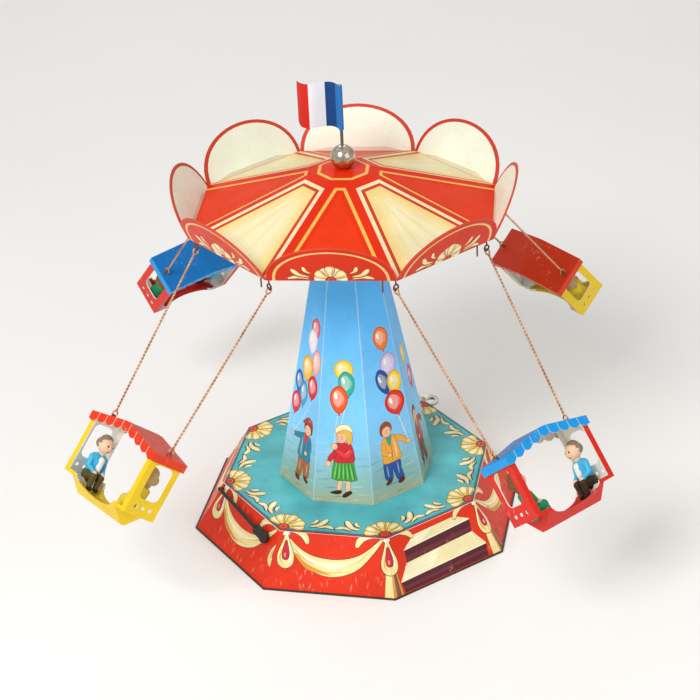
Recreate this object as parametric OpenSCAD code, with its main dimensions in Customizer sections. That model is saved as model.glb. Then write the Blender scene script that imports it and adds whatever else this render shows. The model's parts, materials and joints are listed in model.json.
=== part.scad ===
// Clockwork swing carousel: an octagonal tin toy with a tapered column, a
// star canopy with upturned lobes, and four two-seat cars on wire hangers.
// A wound spring turns the canopy through a small gear train in the base.
// Millimetres, +Z up, origin on the floor under the middle of the column.
// The front of the base faces -Y.

/* [Base] */
// Corner radius of the base where it meets the floor
base_r = 100; // [95:1:125]
// Corner radius of the top plate
deck_r = 80.7; // [66:0.1:92]
// Height of the base
base_h = 30; // [29.5:0.5:40]
// Thickness of the pressed tin of the base and column
tin = 0.8; // [0.5:0.1:1.2]
// How far the floor plate stands out past the walls
floor_lip = 0.6; // [0:0.1:2]

/* [Column] */
// Corner radius of the column where it stands on the deck
column_r = 47; // [44:1:56]
// Corner radius of the column at its top
column_top_r = 14; // [11:0.5:20]
// Height of the column above the deck
column_h = 170; // [165:1:210]
// Width of the tabs that hold the column to the deck
tab_w = 6; // [4:0.5:9]

/* [Canopy] */
// Corner radius of the canopy at its rim
canopy_r = 90; // [84:1:120]
// Rise of the canopy from its rim to the top ring
canopy_rise = 25.5; // [21:0.5:34]
// Corner radius of the top ring
ring_r = 16; // [13:0.5:22]
// Rise of the flat cone inside the ring
crown_rise = 1.5; // [0.5:0.1:3]
// Thickness of the canopy and car tin
thin_tin = 0.7; // [0.5:0.05:1]
// How far the rim hangs below the top of the column
rim_drop = 2.5; // [0:0.5:8]
// Rise of a lobe above the rim
lobe_rise = 25; // [16:1:34]
// How far the top of a lobe leans outward
lobe_lean = 13; // [4:1:20]

/* [Turn of the canopy] */
// Turn of the canopy on the base at rest, degrees
rotor_turn = 5.9; // [0:0.1:45]
// Outward lean of the hangers at rest, degrees
swing = 42; // [30:1:50]

/* [Top] */
// Radius of the ball on the canopy
ball_r = 7; // [5.5:0.5:10]
// Height of the flag pole above the ball
pole_h = 35.1; // [30:0.1:50]
// Radius of the flag pole
pole_r = 0.9; // [0.6:0.1:1.4]
// Length of the flag from the pole
flag_l = 24; // [15:1:36]
// Height of the flag
flag_h = 25.8; // [12:0.2:31]
// Thickness of the flag and of its sleeve
flag_t = 0.5; // [0.3:0.1:0.8]
// Turn of the flag about its pole, degrees from the right of the toy
flag_turn = 171; // [0:1:360]
// Depth of the wave in the flag
flag_wave = 3.3; // [0:0.1:5]

/* [Hangers] */
// Length of a hanger, hook to roof eye
drop = 101; // [85:1:112]
// Radius of the wire of rings, hooks and eyes
wire_r = 0.45; // [0.35:0.05:0.55]
// Radius of the twisted hanger wire
twist_r = 0.7; // [0.5:0.05:0.9]
// Radius of the ring at each end of a hanger
link_r = 1.7; // [1.6:0.1:2.2]
// Play between two linked wires
link_play = 0.05; // [0.02:0.01:0.1]
// Distance of a hook from the rim beside it
hook_in = 3.15; // [2.5:0.05:6]
// Distance of a hook from the corner beside it, along the rim
hook_gap = 1.75; // [1:0.05:4]
// Depth of the hooks below the rim
hook_drop = 7.5; // [6.5:0.1:10]

/* [Cars] */
// Length of a car over its end panels
car_l = 57; // [50:1:66]
// Width of a car over its side panels
car_w = 23; // [20:0.5:27]
// Depth of the benches below the hanger rings
bench_z = 38; // [34:0.5:46]
// Depth of the footwell below the benches
well_h = 8.4; // [6:0.2:11]
// Length of the footwell
well_l = 41; // [36:0.5:46]
// Width of the flat keel of the footwell
keel_w = 3.2; // [2:0.2:6]
// Width of the corner posts seen from the side
post_w = 3.4; // [2.5:0.1:5]
// How far the roof oversails the body at each end and side
roof_over = 0.95; // [0.9:0.05:2]
// Fall of the roof from its middle to its ends, per millimetre
roof_fall = 0.2; // [0.1:0.01:0.3]
// Depth of the scalloped side valance
valance_h = 5.5; // [4:0.1:8]

/* [Movement] */
// Gear module
gear_m = 0.5; // [0.46:0.01:0.54]
// Radius of the drive shaft
shaft_r = 2; // [1.5:0.1:2.2]
// Radius of the gear arbors
arbor_r = 0.9; // [0.7:0.05:0.95]
// Radius of the winding arbor
wind_r = 1.5; // [1.2:0.1:1.8]
// Running clearance of every shaft in its bearing
play = 0.06; // [0.03:0.01:0.09]
// Gap between the movement plates
plate_gap = 30; // [29.5:0.5:34]
// Play between meshed teeth at the pitch line
backlash = 0.16; // [0.1:0.01:0.24]

/* [Lever and key] */
// Distance of the lever pivot from the middle of its face
lever_x = 30; // [20:1:32]
// Length of the lever outside the base
lever_l = 57; // [44:1:60]
// Radius of the lever rod
lever_r = 1.2; // [0.9:0.1:1.5]
// Span of the wings of the winding key
key_w = 22; // [16:1:24]

/* [Hidden] */
$fn = 48;
e = 0.01;
half_side = 22.5;
c8 = cos(half_side);

// Heights
column_z = base_h + column_h;
rim_z = column_z - rim_drop;
ring_z = rim_z + canopy_rise;
top_z = ring_z + crown_rise;
hook_z = rim_z - hook_drop;
hook_r = canopy_r * c8 - hook_in;
hook_x = canopy_r * sin(half_side) - hook_gap;
cap_t = 1.2;
cap_spigot = 3;
lift = 0.3;
hub_z = column_z + cap_t + lift;

// Walls of the base and column, measured level
wall = tin / c8;
base_slope = (base_r - deck_r) * c8 / base_h;
base_lean = atan(base_slope);
function base_apothem(z) = base_r * c8 - base_slope * z;

// However flat their slope, the walls reach in under the deck
deck_seat = 0.36;
base_wall = max(wall, base_slope * tin + deck_seat);

// Joint of the column and deck
slot_play = 0.15;
tab_t = tin;
deck_ledge = 6;

// Shaft, hub, ball and pole
foot_seat = 1;
foot_h = 4;
shaft_z = tin + foot_seat + 0.1;
shaft_end = top_z + 4.5;
shaft_room = 0.3;
hub_wall = 1.4;
pin_z = hub_z + 8;
pin_r = 0.5;
crown_top_r = 7;
ball_z = top_z + ball_r - 0.8;
pole_sunk = 3;
pole_z = ball_z + ball_r - pole_sunk;
pole_top = ball_z + ball_r + pole_h;

// Cars: the side of the canopy that each hangs from, the end that the
// gentleman sits at, and the colours of body, roof, coat and dress
CAR_SIDES = [-1, 1, 3, 5];
SEAT_ENDS = [1, -1, -1, 1];
BODY_COLOURS = ["gold", "firebrick", "gold", "firebrick"];
ROOF_COLOURS = ["orangered", "deepskyblue", "orangered", "deepskyblue"];
DRESS_COLOURS = ["khaki", "seagreen", "khaki", "seagreen"];
eye_h = 2;
eye_r = 1.5;
eye_in = 3.15;
roof_l = car_l + 2 * (thin_tin + roof_over - thin_tin / 2);
roof_w = car_w + 2 * (thin_tin + roof_over - thin_tin / 2);
eye_x = roof_l / 2 - eye_in;
ridge = 4;
link_off = 2 * wire_r + link_play;
function roof_top(x) = -eye_h + (eye_x - max(abs(x), ridge / 2)) * roof_fall;
window_w = 14;
window_top = 8;
window_h = 20;

// Gear train: teeth of each wheel and the bearings between the plates
great_n = 44;
first_pinion_n = 11;
first_wheel_n = 36;
second_pinion_n = 9;
second_wheel_n = 30;
fly_pinion_n = 10;
drive_pinion_n = 10;
crown_n = 48;
crown_z = 26.5;
crown_t = 1.5;
crown_rise_gap = 0.6;
drive_w = 2.4;
wheel_t = 1.4;
pinion_over = 0.3;
pinion_t = wheel_t + 2 * pinion_over;
ratchet_t = 0.9;
function pitch_r(n) = n * gear_m / 2;
function reach(n1, n2) = pitch_r(n1) + pitch_r(n2);
function step_from(p, angle, d) = [p[0] + d * cos(angle), p[1] + d * sin(angle)];
to_first = -20;
to_great = -22;
to_fly = 195;
second_at = [0, crown_z - pitch_r(drive_pinion_n)];
first_at = step_from(second_at, to_first, reach(first_wheel_n, second_pinion_n));
great_at = step_from(first_at, to_great, reach(great_n, first_pinion_n));
fly_at = step_from(second_at, to_fly, reach(second_wheel_n, fly_pinion_n));

// A tooth angle of the wheel at the far end of a mesh, in step with one of
// n1 teeth whose tooth stands at a1, seen along the line at angle t
function meshed(t, a1, n1, n2) = t + 180 - (a1 - t) * n1 / n2 + 180 / n2;
second_tooth = 90 + 180 / drive_pinion_n;
first_tooth = meshed(to_first, second_tooth, second_pinion_n, first_wheel_n);
great_tooth = meshed(to_great, first_tooth, first_pinion_n, great_n);
fly_tooth = meshed(to_fly, second_tooth, second_wheel_n, fly_pinion_n);

// Distances of the movement's layers behind the shaft
plate_t = 1;
plate_y = 7;
back_y = plate_y + plate_t + plate_gap;
fly_y = plate_y + plate_t + 8;
pair_y = plate_y + plate_t + 12;
great_y = plate_y + plate_t + 16;
ratchet_y = great_y + 2.2;
spring_y = ratchet_y + 2;
spring_w = back_y - spring_y - 1;
fly_vane_y = pair_y + 3;
plate_top = crown_z - 0.9;
plate_left = -14;
plate_right = great_at[0] + 15.5;
PILLARS = [[-11, 5], [great_at[0] - 13.5, 4], [plate_right - 2.5, 4], [plate_right - 3, plate_top - 2.2]];
ratchet_n = 12;
ratchet_r = 5;
click_at = step_from(great_at, -8, 8.2);
click_pin_r = 0.6;
key_y = base_r * c8 + floor_lip + 1.5;
key_l = 13;

// Stop lever, in the frame of the front left face
lever_z = base_h - 3.9;
lever_gap = 1;
brake_gap = 4.4;
crown_r = pitch_r(crown_n) + 1.4;

// ---- shapes used by several pieces ----

// Eight-sided frustum with a face towards -Y
module octo(r1, r2, h) {
    rotate([0, 0, half_side]) cylinder(h = h, r1 = r1, r2 = r2, $fn = 8);
}

// Eight-sided plate
module octo_plate(r, h) {
    rotate([0, 0, half_side]) cylinder(h = h, r = r, $fn = 8);
}

// Open eight-sided tapered tube with a level wall w
module octo_tube(r1, r2, h, w) {
    s = (r2 - r1) / h;
    difference() {
        octo(r1, r2, h);
        translate([0, 0, -1]) octo(r1 - w - s, r2 - w + s, h + 2);
    }
}

// Round bar from p to q
module rod(p, q, r) {
    d = q - p;
    translate(p) rotate([0, acos(d[2] / norm(d)), atan2(d[1], d[0])]) cylinder(h = norm(d), r = r);
}

// Round bar with round ends
module soft_rod(p, q, r) {
    rod(p, q, r);
    translate(p) sphere(r);
    translate(q) sphere(r);
}

// Wire ring, or part of one, about Z
module wire_ring(r, turn = 360) {
    rotate_extrude(angle = turn) translate([r, 0]) circle(wire_r, $fn = 20);
}

// Frame of one side of the canopy: +Y outward, X along the rim
module on_side(s) {
    rotate([0, 0, rotor_turn + 45 * s - 180]) children();
}

// Frame of one hanger, at its hooks and leaning with it
module on_hanger(k) {
    on_side(CAR_SIDES[k - 1]) translate([0, hook_r, hook_z]) rotate([swing, 0, 0]) children();
}

// Frame of one car, at the eyes on its roof
module on_car(k) {
    on_hanger(k) translate([0, 0, -drop]) children();
}

// Frame of the movement's layer at y: x across, y up, z towards the front
module layer(y, at = [0, 0]) {
    translate([at[0], y, at[1]]) rotate([90, 0, 0]) children();
}

// Spur gear with one tooth at angle a
module gear(n, t, a) {
    p = pitch_r(n);
    w = (PI * gear_m - backlash) / 4;
    half_root = atan((w + 0.17 * gear_m) / p);
    half_pitch = atan(w / p);
    half_tip = atan((w - 0.34 * gear_m) / p);
    tip = p + 0.85 * gear_m;
    root = p - 1.1 * gear_m;
    linear_extrude(t) polygon([
        for (i = [0:n - 1], q = [[-half_root, root], [-half_pitch, p], [-half_tip, tip],
                                 [half_tip, tip], [half_pitch, p], [half_root, root]])
            q[1] * [cos(a + i * 360 / n + q[0]), sin(a + i * 360 / n + q[0])]
    ]);
}

// ---- base ----

module base_floor() {
    color("dimgray") octo_plate(base_r + floor_lip, tin);
}

// Frame of the lever: x along the face, y up its slope, z out of it
module on_lever() {
    rotate([0, 0, -45]) translate([-lever_x, -base_apothem(lever_z), lever_z])
        rotate([90 - base_lean, 0, 0]) children();
}

module base_walls() {
    color("red") difference() {
        translate([0, 0, tin]) octo_tube(base_r - tin * (base_r - deck_r) / base_h,
            deck_r + tin * (base_r - deck_r) / base_h, base_h - 2 * tin, base_wall);
        on_lever() translate([0, 0, -6]) cylinder(h = 12, r = lever_r + play);
        translate([great_at[0], back_y, great_at[1]]) rotate([-90, 0, 0]) cylinder(h = 90, r = wind_r + play);
    }
}

module deck() {
    color("mediumturquoise") difference() {
        translate([0, 0, base_h - tin]) octo_plate(deck_r, tin);
        translate([0, 0, base_h - tin - 1]) cylinder(h = tin + 2, r = column_r * c8 - deck_ledge);
        for (k = [0:7]) rotate([0, 0, 45 * k])
            translate([-tab_w / 2 - slot_play, -column_r * c8, base_h - tin - 1])
                cube([tab_w + 2 * slot_play, tab_t + slot_play, tin + 2]);
    }
}

// ---- column ----

module column() {
    fold = 3;
    sunk = 0.4;
    color("skyblue") union() {
        translate([0, 0, base_h]) octo_tube(column_r, column_top_r, column_h, wall);
        for (k = [0:7]) rotate([0, 0, 45 * k]) translate([-tab_w / 2, -column_r * c8, 0]) {
            translate([0, slot_play / 2, base_h - tin - tab_t]) cube([tab_w, tab_t, tin + tab_t + sunk]);
            translate([0, slot_play / 2 - fold, base_h - tin - tab_t]) cube([tab_w, fold + tab_t, tab_t]);
        }
    }
}

module column_cap() {
    color("silver") difference() {
        union() {
            translate([0, 0, column_z]) octo_plate(column_top_r + 0.8, cap_t);
            translate([0, 0, column_z - cap_spigot]) cylinder(h = cap_spigot + e, r = shaft_r + 3);
        }
        translate([0, 0, column_z - cap_spigot - 1]) cylinder(h = cap_spigot + cap_t + 2, r = shaft_r + play);
    }
}

module foot_bearing() {
    color("goldenrod") difference() {
        translate([0, 0, tin]) cylinder(h = foot_h, r = shaft_r + 2.5);
        translate([0, 0, tin + foot_seat]) cylinder(h = foot_h, r = shaft_r + play);
    }
}

// ---- movement ----

module movement_plate(y) {
    difference() {
        layer(y + plate_t) translate([plate_left, tin, 0])
            cube([plate_right - plate_left, plate_top - tin, plate_t]);
        for (at = [second_at, first_at, fly_at])
            layer(y + plate_t + 1, at) cylinder(h = plate_t + 2, r = arbor_r + play);
        layer(y + plate_t + 1, great_at) cylinder(h = plate_t + 2, r = wind_r + play);
    }
}

module front_plate() {
    color("lightgray") movement_plate(plate_y);
}

module back_plate() {
    color("lightgray") movement_plate(back_y);
}

module plate_pillars() {
    color("darkgray") for (at = PILLARS) layer(back_y, at) cylinder(h = plate_gap, r = 1.4);
}

// Coiled strip, hooked to a pillar at its outer end
module mainspring() {
    turns = 7;
    strip = 0.35;
    r_in = wind_r + 0.4;
    r_out = 10;
    color("steelblue") layer(spring_y + spring_w, great_at) linear_extrude(spring_w) polygon(concat(
        [for (i = [0:24 * turns]) let (a = 40 + i * 15, r = r_in + (r_out - r_in) * i / (24 * turns))
            r * [cos(a), sin(a)]],
        [for (i = [24 * turns:-1:0])
            let (a = 40 + i * 15, r = r_in + strip + (r_out - r_in) * i / (24 * turns))
            r * [cos(a), sin(a)]]));
}

// Arbor between the plates, its ends in the bearings
module arbor(at) {
    layer(back_y + plate_t + 0.4, at) cylinder(h = plate_gap + 2 * plate_t + 0.8, r = arbor_r);
}

module great_wheel() {
    color("goldenrod") {
        difference() {
            layer(great_y + wheel_t, great_at) gear(great_n, wheel_t, great_tooth);
            layer(great_y + wheel_t + 1, great_at) cylinder(h = wheel_t + 2, r = wind_r + play);
        }
        layer(ratchet_y + ratchet_t + 0.3, click_at) cylinder(h = ratchet_y - great_y, r = click_pin_r);
    }
}

// Pawl on the great wheel, its nose behind a ratchet tooth
module click() {
    face = 28.5;
    nose = step_from(great_at, face, ratchet_r - 0.65) - click_at;
    brow = step_from(great_at, face, ratchet_r + 0.4) - click_at;
    color("gray") layer(ratchet_y + 1, click_at) difference() {
        linear_extrude(ratchet_t) {
            circle(1.4);
            polygon([nose, [-1, -0.8], [0.8, 1], brow]);
        }
        translate([0, 0, -1]) cylinder(h = 4, r = click_pin_r + play);
    }
}

module first_arbor() {
    color("goldenrod") {
        arbor(first_at);
        layer(pair_y + wheel_t, first_at) gear(first_wheel_n, wheel_t, first_tooth);
        layer(great_y + wheel_t + pinion_over, first_at) gear(first_pinion_n, pinion_t, first_tooth);
    }
}

module second_arbor() {
    color("goldenrod") {
        arbor(second_at);
        layer(pitch_r(crown_n) + drive_w / 2, second_at) gear(drive_pinion_n, drive_w, second_tooth);
        layer(fly_y + wheel_t, second_at) gear(second_wheel_n, wheel_t, second_tooth);
        layer(pair_y + wheel_t + pinion_over, second_at) gear(second_pinion_n, pinion_t, second_tooth);
    }
}

// Fast arbor whose two vanes beat the air and hold the speed down
module governor_fly() {
    vane_r = 6.6;
    vane_t = 0.6;
    end_y = back_y - 1.5;
    color("silver") {
        arbor(fly_at);
        layer(fly_y + wheel_t + pinion_over, fly_at) gear(fly_pinion_n, pinion_t, fly_tooth);
        layer(end_y, fly_at) translate([-vane_r, -vane_t / 2, 0])
            cube([2 * vane_r, vane_t, end_y - fly_vane_y]);
    }
}

module winding_arbor() {
    end_y = key_y + 3;
    color("gray") layer(end_y, great_at) cylinder(h = end_y - plate_y + 0.4, r = wind_r);
}

module ratchet_wheel() {
    root = ratchet_r - 0.9;
    pitch = 360 / ratchet_n;
    color("darkgray") layer(ratchet_y + 1, great_at) difference() {
        linear_extrude(ratchet_t) polygon([
            for (i = [0:ratchet_n - 1], q = [root, ratchet_r])
                q * [cos(i * pitch), sin(i * pitch)]
        ]);
        translate([0, 0, -1]) cylinder(h = 4, r = wind_r);
    }
}

// Wing key: a socket on the arbor and a flat plate with two finger holes
module winding_key() {
    wing_r = key_l / 2;
    wing_t = 1.6;
    hole_r = 2.6;
    hole_x = key_w / 2 - wing_r + 1.6;
    socket_h = 6;
    color("silver") difference() {
        union() {
            layer(key_y + socket_h, great_at) cylinder(h = socket_h, r = wind_r + 1.6);
            translate([great_at[0], key_y + wing_r, great_at[1] - wing_t / 2]) {
                for (s = [-1, 1]) translate([s * (key_w / 2 - wing_r), 0, 0])
                    cylinder(h = wing_t, r = wing_r);
                translate([-key_w / 2 + wing_r, -wing_r / 2, 0]) cube([key_w - 2 * wing_r, wing_r, wing_t]);
            }
        }
        translate([great_at[0], key_y + wing_r, great_at[1] - wing_t])
            for (s = [-1, 1]) translate([s * hole_x, 0, 0]) cylinder(h = 2 * wing_t, r = hole_r);
        layer(key_y + socket_h / 2, great_at) cylinder(h = socket_h, r = wind_r);
    }
}

// Lever outside, pivot through the wall, and an arm that reaches the crown wheel
module stop_lever() {
    rod_z = lever_gap + lever_r;
    paddle_l = 12;
    paddle_r = 3.6;
    inner = 10;
    tilt = -5;
    shoe_r = 1.5;
    elbow = [-lever_x, -base_apothem(lever_z) + inner * cos(base_lean), lever_z - inner * sin(base_lean)];
    shoe = [-crown_r - brake_gap - shoe_r, 0, crown_z + 1.2];
    color("black") {
        on_lever() {
            translate([0, 0, -inner]) cylinder(h = inner + rod_z, r = lever_r);
            rotate([0, 0, tilt]) {
                soft_rod([0, 0, rod_z], [lever_l - paddle_l, 0, rod_z], lever_r);
                translate([lever_l - paddle_l, 0, rod_z - 0.7]) {
                    cylinder(h = 1.4, r = paddle_r * 0.8);
                    translate([0, -paddle_r * 0.8, 0]) cube([paddle_l - paddle_r, paddle_r * 1.6, 1.4]);
                    translate([paddle_l - paddle_r, 0, 0]) cylinder(h = 1.4, r = paddle_r);
                }
            }
        }
        rotate([0, 0, -45]) soft_rod(elbow, shoe, shoe_r * 0.7);
        rotate([0, 0, -45]) translate(shoe) sphere(shoe_r);
    }
}

// ---- turning head ----

module drive_shaft() {
    collar_h = 1.4;
    color("silver") difference() {
        union() {
            translate([0, 0, shaft_z]) cylinder(h = shaft_end - shaft_z, r = shaft_r);
            translate([0, 0, crown_z + crown_rise_gap + crown_t]) cylinder(h = collar_h, r = shaft_r + 1.2);
        }
        translate([-shaft_r - 1, 0, pin_z]) rotate([0, 90, 0]) cylinder(h = 2 * shaft_r + 2, r = pin_r);
    }
}

// Contrate wheel: its teeth point down, into the pinion behind the shaft
module crown_wheel() {
    w = (PI * gear_m - backlash) / 4;
    depth = 0.55 * gear_m + crown_rise_gap;
    root_w = w + 0.1;
    tip_w = w - 0.17;
    sunk = 0.2;
    disc_z = crown_z + crown_rise_gap;
    hole_r = 2.4;
    hole_at = pitch_r(crown_n) - 5;
    color("goldenrod") {
        difference() {
            translate([0, 0, disc_z]) cylinder(h = crown_t, r = crown_r);
            translate([0, 0, crown_z]) cylinder(h = crown_t + 2, r = shaft_r);
            for (k = [0:3]) rotate([0, 0, 45 + 90 * k]) translate([hole_at, 0, crown_z])
                cylinder(h = crown_t + 2, r = hole_r);
        }
        for (i = [0:crown_n - 1]) rotate([0, 0, i * 360 / crown_n])
            translate([0, pitch_r(crown_n) + drive_w / 2, disc_z]) rotate([90, 0, 0]) linear_extrude(drive_w)
                polygon([[-root_w, 0], [-tip_w, -depth], [tip_w, -depth], [root_w, 0],
                         [root_w, sunk], [-root_w, sunk]]);
    }
}

module canopy_hub() {
    head_h = 6;
    head_r = shaft_r + 2.6;
    flange_r = head_r + 4.4;
    flange_t = 1.5;
    head_z = top_z - thin_tin - head_h;
    color("silver") difference() {
        union() {
            translate([0, 0, hub_z]) cylinder(h = top_z - thin_tin - hub_z, r = shaft_r + hub_wall);
            translate([0, 0, head_z]) cylinder(h = head_h, r = head_r);
            translate([0, 0, head_z]) cylinder(h = flange_t, r = flange_r);
        }
        translate([0, 0, hub_z - 1]) cylinder(h = top_z, r = shaft_r);
        translate([-flange_r, 0, pin_z]) rotate([0, 90, 0]) cylinder(h = 2 * flange_r, r = pin_r);
    }
}

module hub_pin() {
    half = shaft_r + hub_wall + 0.6;
    color("gray") translate([-half, 0, pin_z]) rotate([0, 90, 0]) cylinder(h = 2 * half, r = pin_r);
}

module canopy_form() {
    octo(canopy_r, ring_r, canopy_rise);
    translate([0, 0, canopy_rise]) octo(ring_r, crown_top_r, crown_rise);
}

module canopy() {
    color("tomato") rotate([0, 0, rotor_turn]) translate([0, 0, rim_z]) difference() {
        canopy_form();
        translate([0, 0, -thin_tin]) canopy_form();
        cylinder(h = canopy_rise + crown_rise + 1, r = shaft_r);
    }
}

// One upturned lobe per side, as wide as the rim between two corners
module canopy_lobes() {
    half = canopy_r * sin(half_side);
    slant = norm([lobe_rise, lobe_lean]);
    color("ivory") for (s = [0:7]) on_side(s)
        translate([0, canopy_r * c8, rim_z]) rotate([90 - atan(lobe_lean / lobe_rise), 0, 0])
            translate([0, 0, -thin_tin / 2]) linear_extrude(thin_tin)
                polygon([for (a = [0:7.5:180]) [half * cos(a), slant * pow(sin(a), 0.9)]]);
}

module finial_ball() {
    color("silver") difference() {
        intersection() {
            translate([0, 0, ball_z]) sphere(ball_r);
            translate([-ball_r, -ball_r, top_z]) cube(2 * ball_r);
        }
        translate([0, 0, top_z - 1]) cylinder(h = 1 + shaft_end + shaft_room - top_z, r = shaft_r);
        translate([0, 0, pole_z]) cylinder(h = pole_sunk + 1, r = pole_r);
    }
}

module flag_pole() {
    color("darkgray") translate([0, 0, pole_z]) cylinder(h = pole_top - pole_z, r = pole_r);
}

// Waved sheet with a sleeve round the pole
module flag() {
    step = 0.05;
    function bend(u) = -flag_wave * sin(360 * u);
    color("white") rotate([0, 0, flag_turn]) translate([0, 0, pole_top - flag_h]) difference() {
        union() {
            cylinder(h = flag_h, r = pole_r + flag_t);
            linear_extrude(flag_h) polygon(concat(
                [for (u = [0:step:1 + e]) [pole_r + u * flag_l, bend(u) - flag_t / 2]],
                [for (u = [1:-step:-e]) [pole_r + u * flag_l, bend(u) + flag_t / 2]]));
        }
        translate([0, 0, -1]) cylinder(h = flag_h + 2, r = pole_r);
    }
}

// A bent wire under each hung corner: an eye, an arch through the rim and a
// free leg
module hook(end) {
    eye = 1.6;
    arch_r = 3.5;
    arch_z = hook_z + 4.5;
    leg_turn = end > 0 ? -39 : 0;
    translate([end * hook_x, hook_r, 0]) {
        translate([0, 0, hook_z + eye]) rotate([90, 0, 0]) wire_ring(eye);
        rotate([0, 0, leg_turn]) {
            translate([0, 0, hook_z + 2 * eye]) cylinder(h = arch_z - hook_z - 2 * eye, r = wire_r);
            translate([arch_r, 0, arch_z]) rotate([90, 0, 0]) wire_ring(arch_r, 180);
            translate([2 * arch_r, 0, hook_z - 1]) cylinder(h = arch_z - hook_z + 1, r = wire_r);
        }
    }
}

module hooks() {
    color("saddlebrown") for (s = CAR_SIDES, end = [-1, 1]) on_side(s) hook(end);
}

// ---- hangers and cars ----

module hanger(k) {
    color("peru") on_hanger(k) for (end = [-1, 1]) {
        hook_ring = [end * hook_x, 0, link_off - link_r];
        eye_ring = [end * eye_x, 0, -drop - link_off + link_r];
        translate(hook_ring) rotate([0, 90, 0]) wire_ring(link_r);
        translate(eye_ring) rotate([0, 90, 0]) wire_ring(link_r);
        rod(hook_ring - [0, 0, link_r], eye_ring + [0, 0, link_r], twist_r);
    }
}

// Outer or inner form of a car, shrunk by g
module car_form(g, top) {
    half = car_l / 2 - g;
    side = car_w / 2 - g;
    rotate([90, 0, 0]) translate([0, 0, -side]) linear_extrude(2 * side) polygon([
        [-half, -bench_z + g], [half, -bench_z + g], [half, roof_top(half) - thin_tin + top],
        [ridge / 2, roof_top(0) - thin_tin + top], [-ridge / 2, roof_top(0) - thin_tin + top],
        [-half, roof_top(half) - thin_tin + top]]);
    rotate([90, 0, 90]) translate([0, 0, -well_l / 2 + g]) linear_extrude(well_l - 2 * g) polygon([
        [-side, -bench_z + 1.3 * g], [-keel_w / 2, -bench_z - well_h + 1.3 * g],
        [keel_w / 2, -bench_z - well_h + 1.3 * g], [side, -bench_z + 1.3 * g],
        [side, -bench_z + 2 * g + 1], [-side, -bench_z + 2 * g + 1]]);
}

// Opening in a long side, from the roof down to the lip of the footwell
module side_opening() {
    half = car_l / 2 - post_w;
    dip = well_h * 0.5;
    inner = well_l / 2 - 2.5;
    low = -bench_z + 2;
    rotate([90, 0, 0]) translate([0, 0, -car_w]) linear_extrude(2 * car_w) polygon(concat(
        [[half, eye_h + 10], [-half, eye_h + 10], [-half, low]],
        [for (a = [180:15:360]) [inner * cos(a), low + (dip + 2) * sin(a)]],
        [[half, low]]));
}

// Window and three small holes in an end panel
module end_openings() {
    corner = 3.5;
    half = window_w / 2 - corner;
    rotate([90, 0, 90]) translate([0, 0, -car_l]) linear_extrude(2 * car_l) {
        for (y = [-half, half], z = [-window_top - corner, -window_top - window_h + corner])
            translate([y, z]) circle(corner);
        translate([-half, -window_top - window_h]) square([2 * half, window_h]);
        translate([-window_w / 2, -window_top - window_h + corner]) square([window_w, window_h - 2 * corner]);
        for (y = [-5.5, 0, 5.5]) translate([y, -bench_z + 5]) circle(1.1);
    }
}

module car_body(k) {
    color(BODY_COLOURS[k - 1]) on_car(k) difference() {
        car_form(0, 0);
        car_form(thin_tin, 20);
        side_opening();
        end_openings();
    }
}

// Folded roof with scalloped sides, straight ends and two wire eyes
module car_roof(k) {
    lobes = 9;
    steps = 10;
    half = roof_l / 2;
    end_h = 4.6;
    scallop = 1.6;
    leg_h = eye_h - eye_r + thin_tin / 2 + eye_r * roof_fall;
    function hem(x) = roof_top(x) - valance_h + scallop * (1 - abs(sin(180 * lobes * (x + half) / roof_l)));
    XS = [for (i = [0:lobes * steps]) -half + i * roof_l / (lobes * steps)];
    TOP = [[half, roof_top(half)], [ridge / 2, roof_top(0)], [-ridge / 2, roof_top(0)],
           [-half, roof_top(half)]];
    color(ROOF_COLOURS[k - 1]) on_car(k) {
        rotate([90, 0, 0]) translate([0, 0, -roof_w / 2]) linear_extrude(roof_w)
            polygon(concat(TOP, [for (i = [3:-1:0]) TOP[i] - [0, thin_tin]]));
        for (s = [-1, 1]) {
            translate([0, s * (roof_w - thin_tin) / 2 + thin_tin / 2, 0]) rotate([90, 0, 0])
                linear_extrude(thin_tin) polygon(concat(TOP, [for (x = XS) [x, hem(x)]]));
            translate([s * (half - thin_tin / 2) - thin_tin / 2, -roof_w / 2, roof_top(half) - end_h])
                cube([thin_tin, roof_w, end_h - thin_tin / 2]);
            translate([s * eye_x, 0, -eye_r]) {
                rotate([90, 0, 0]) wire_ring(eye_r, 180);
                for (leg = [-1, 1]) translate([leg * eye_r, 0, -leg_h]) cylinder(h = leg_h, r = wire_r);
            }
        }
    }
}

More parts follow.
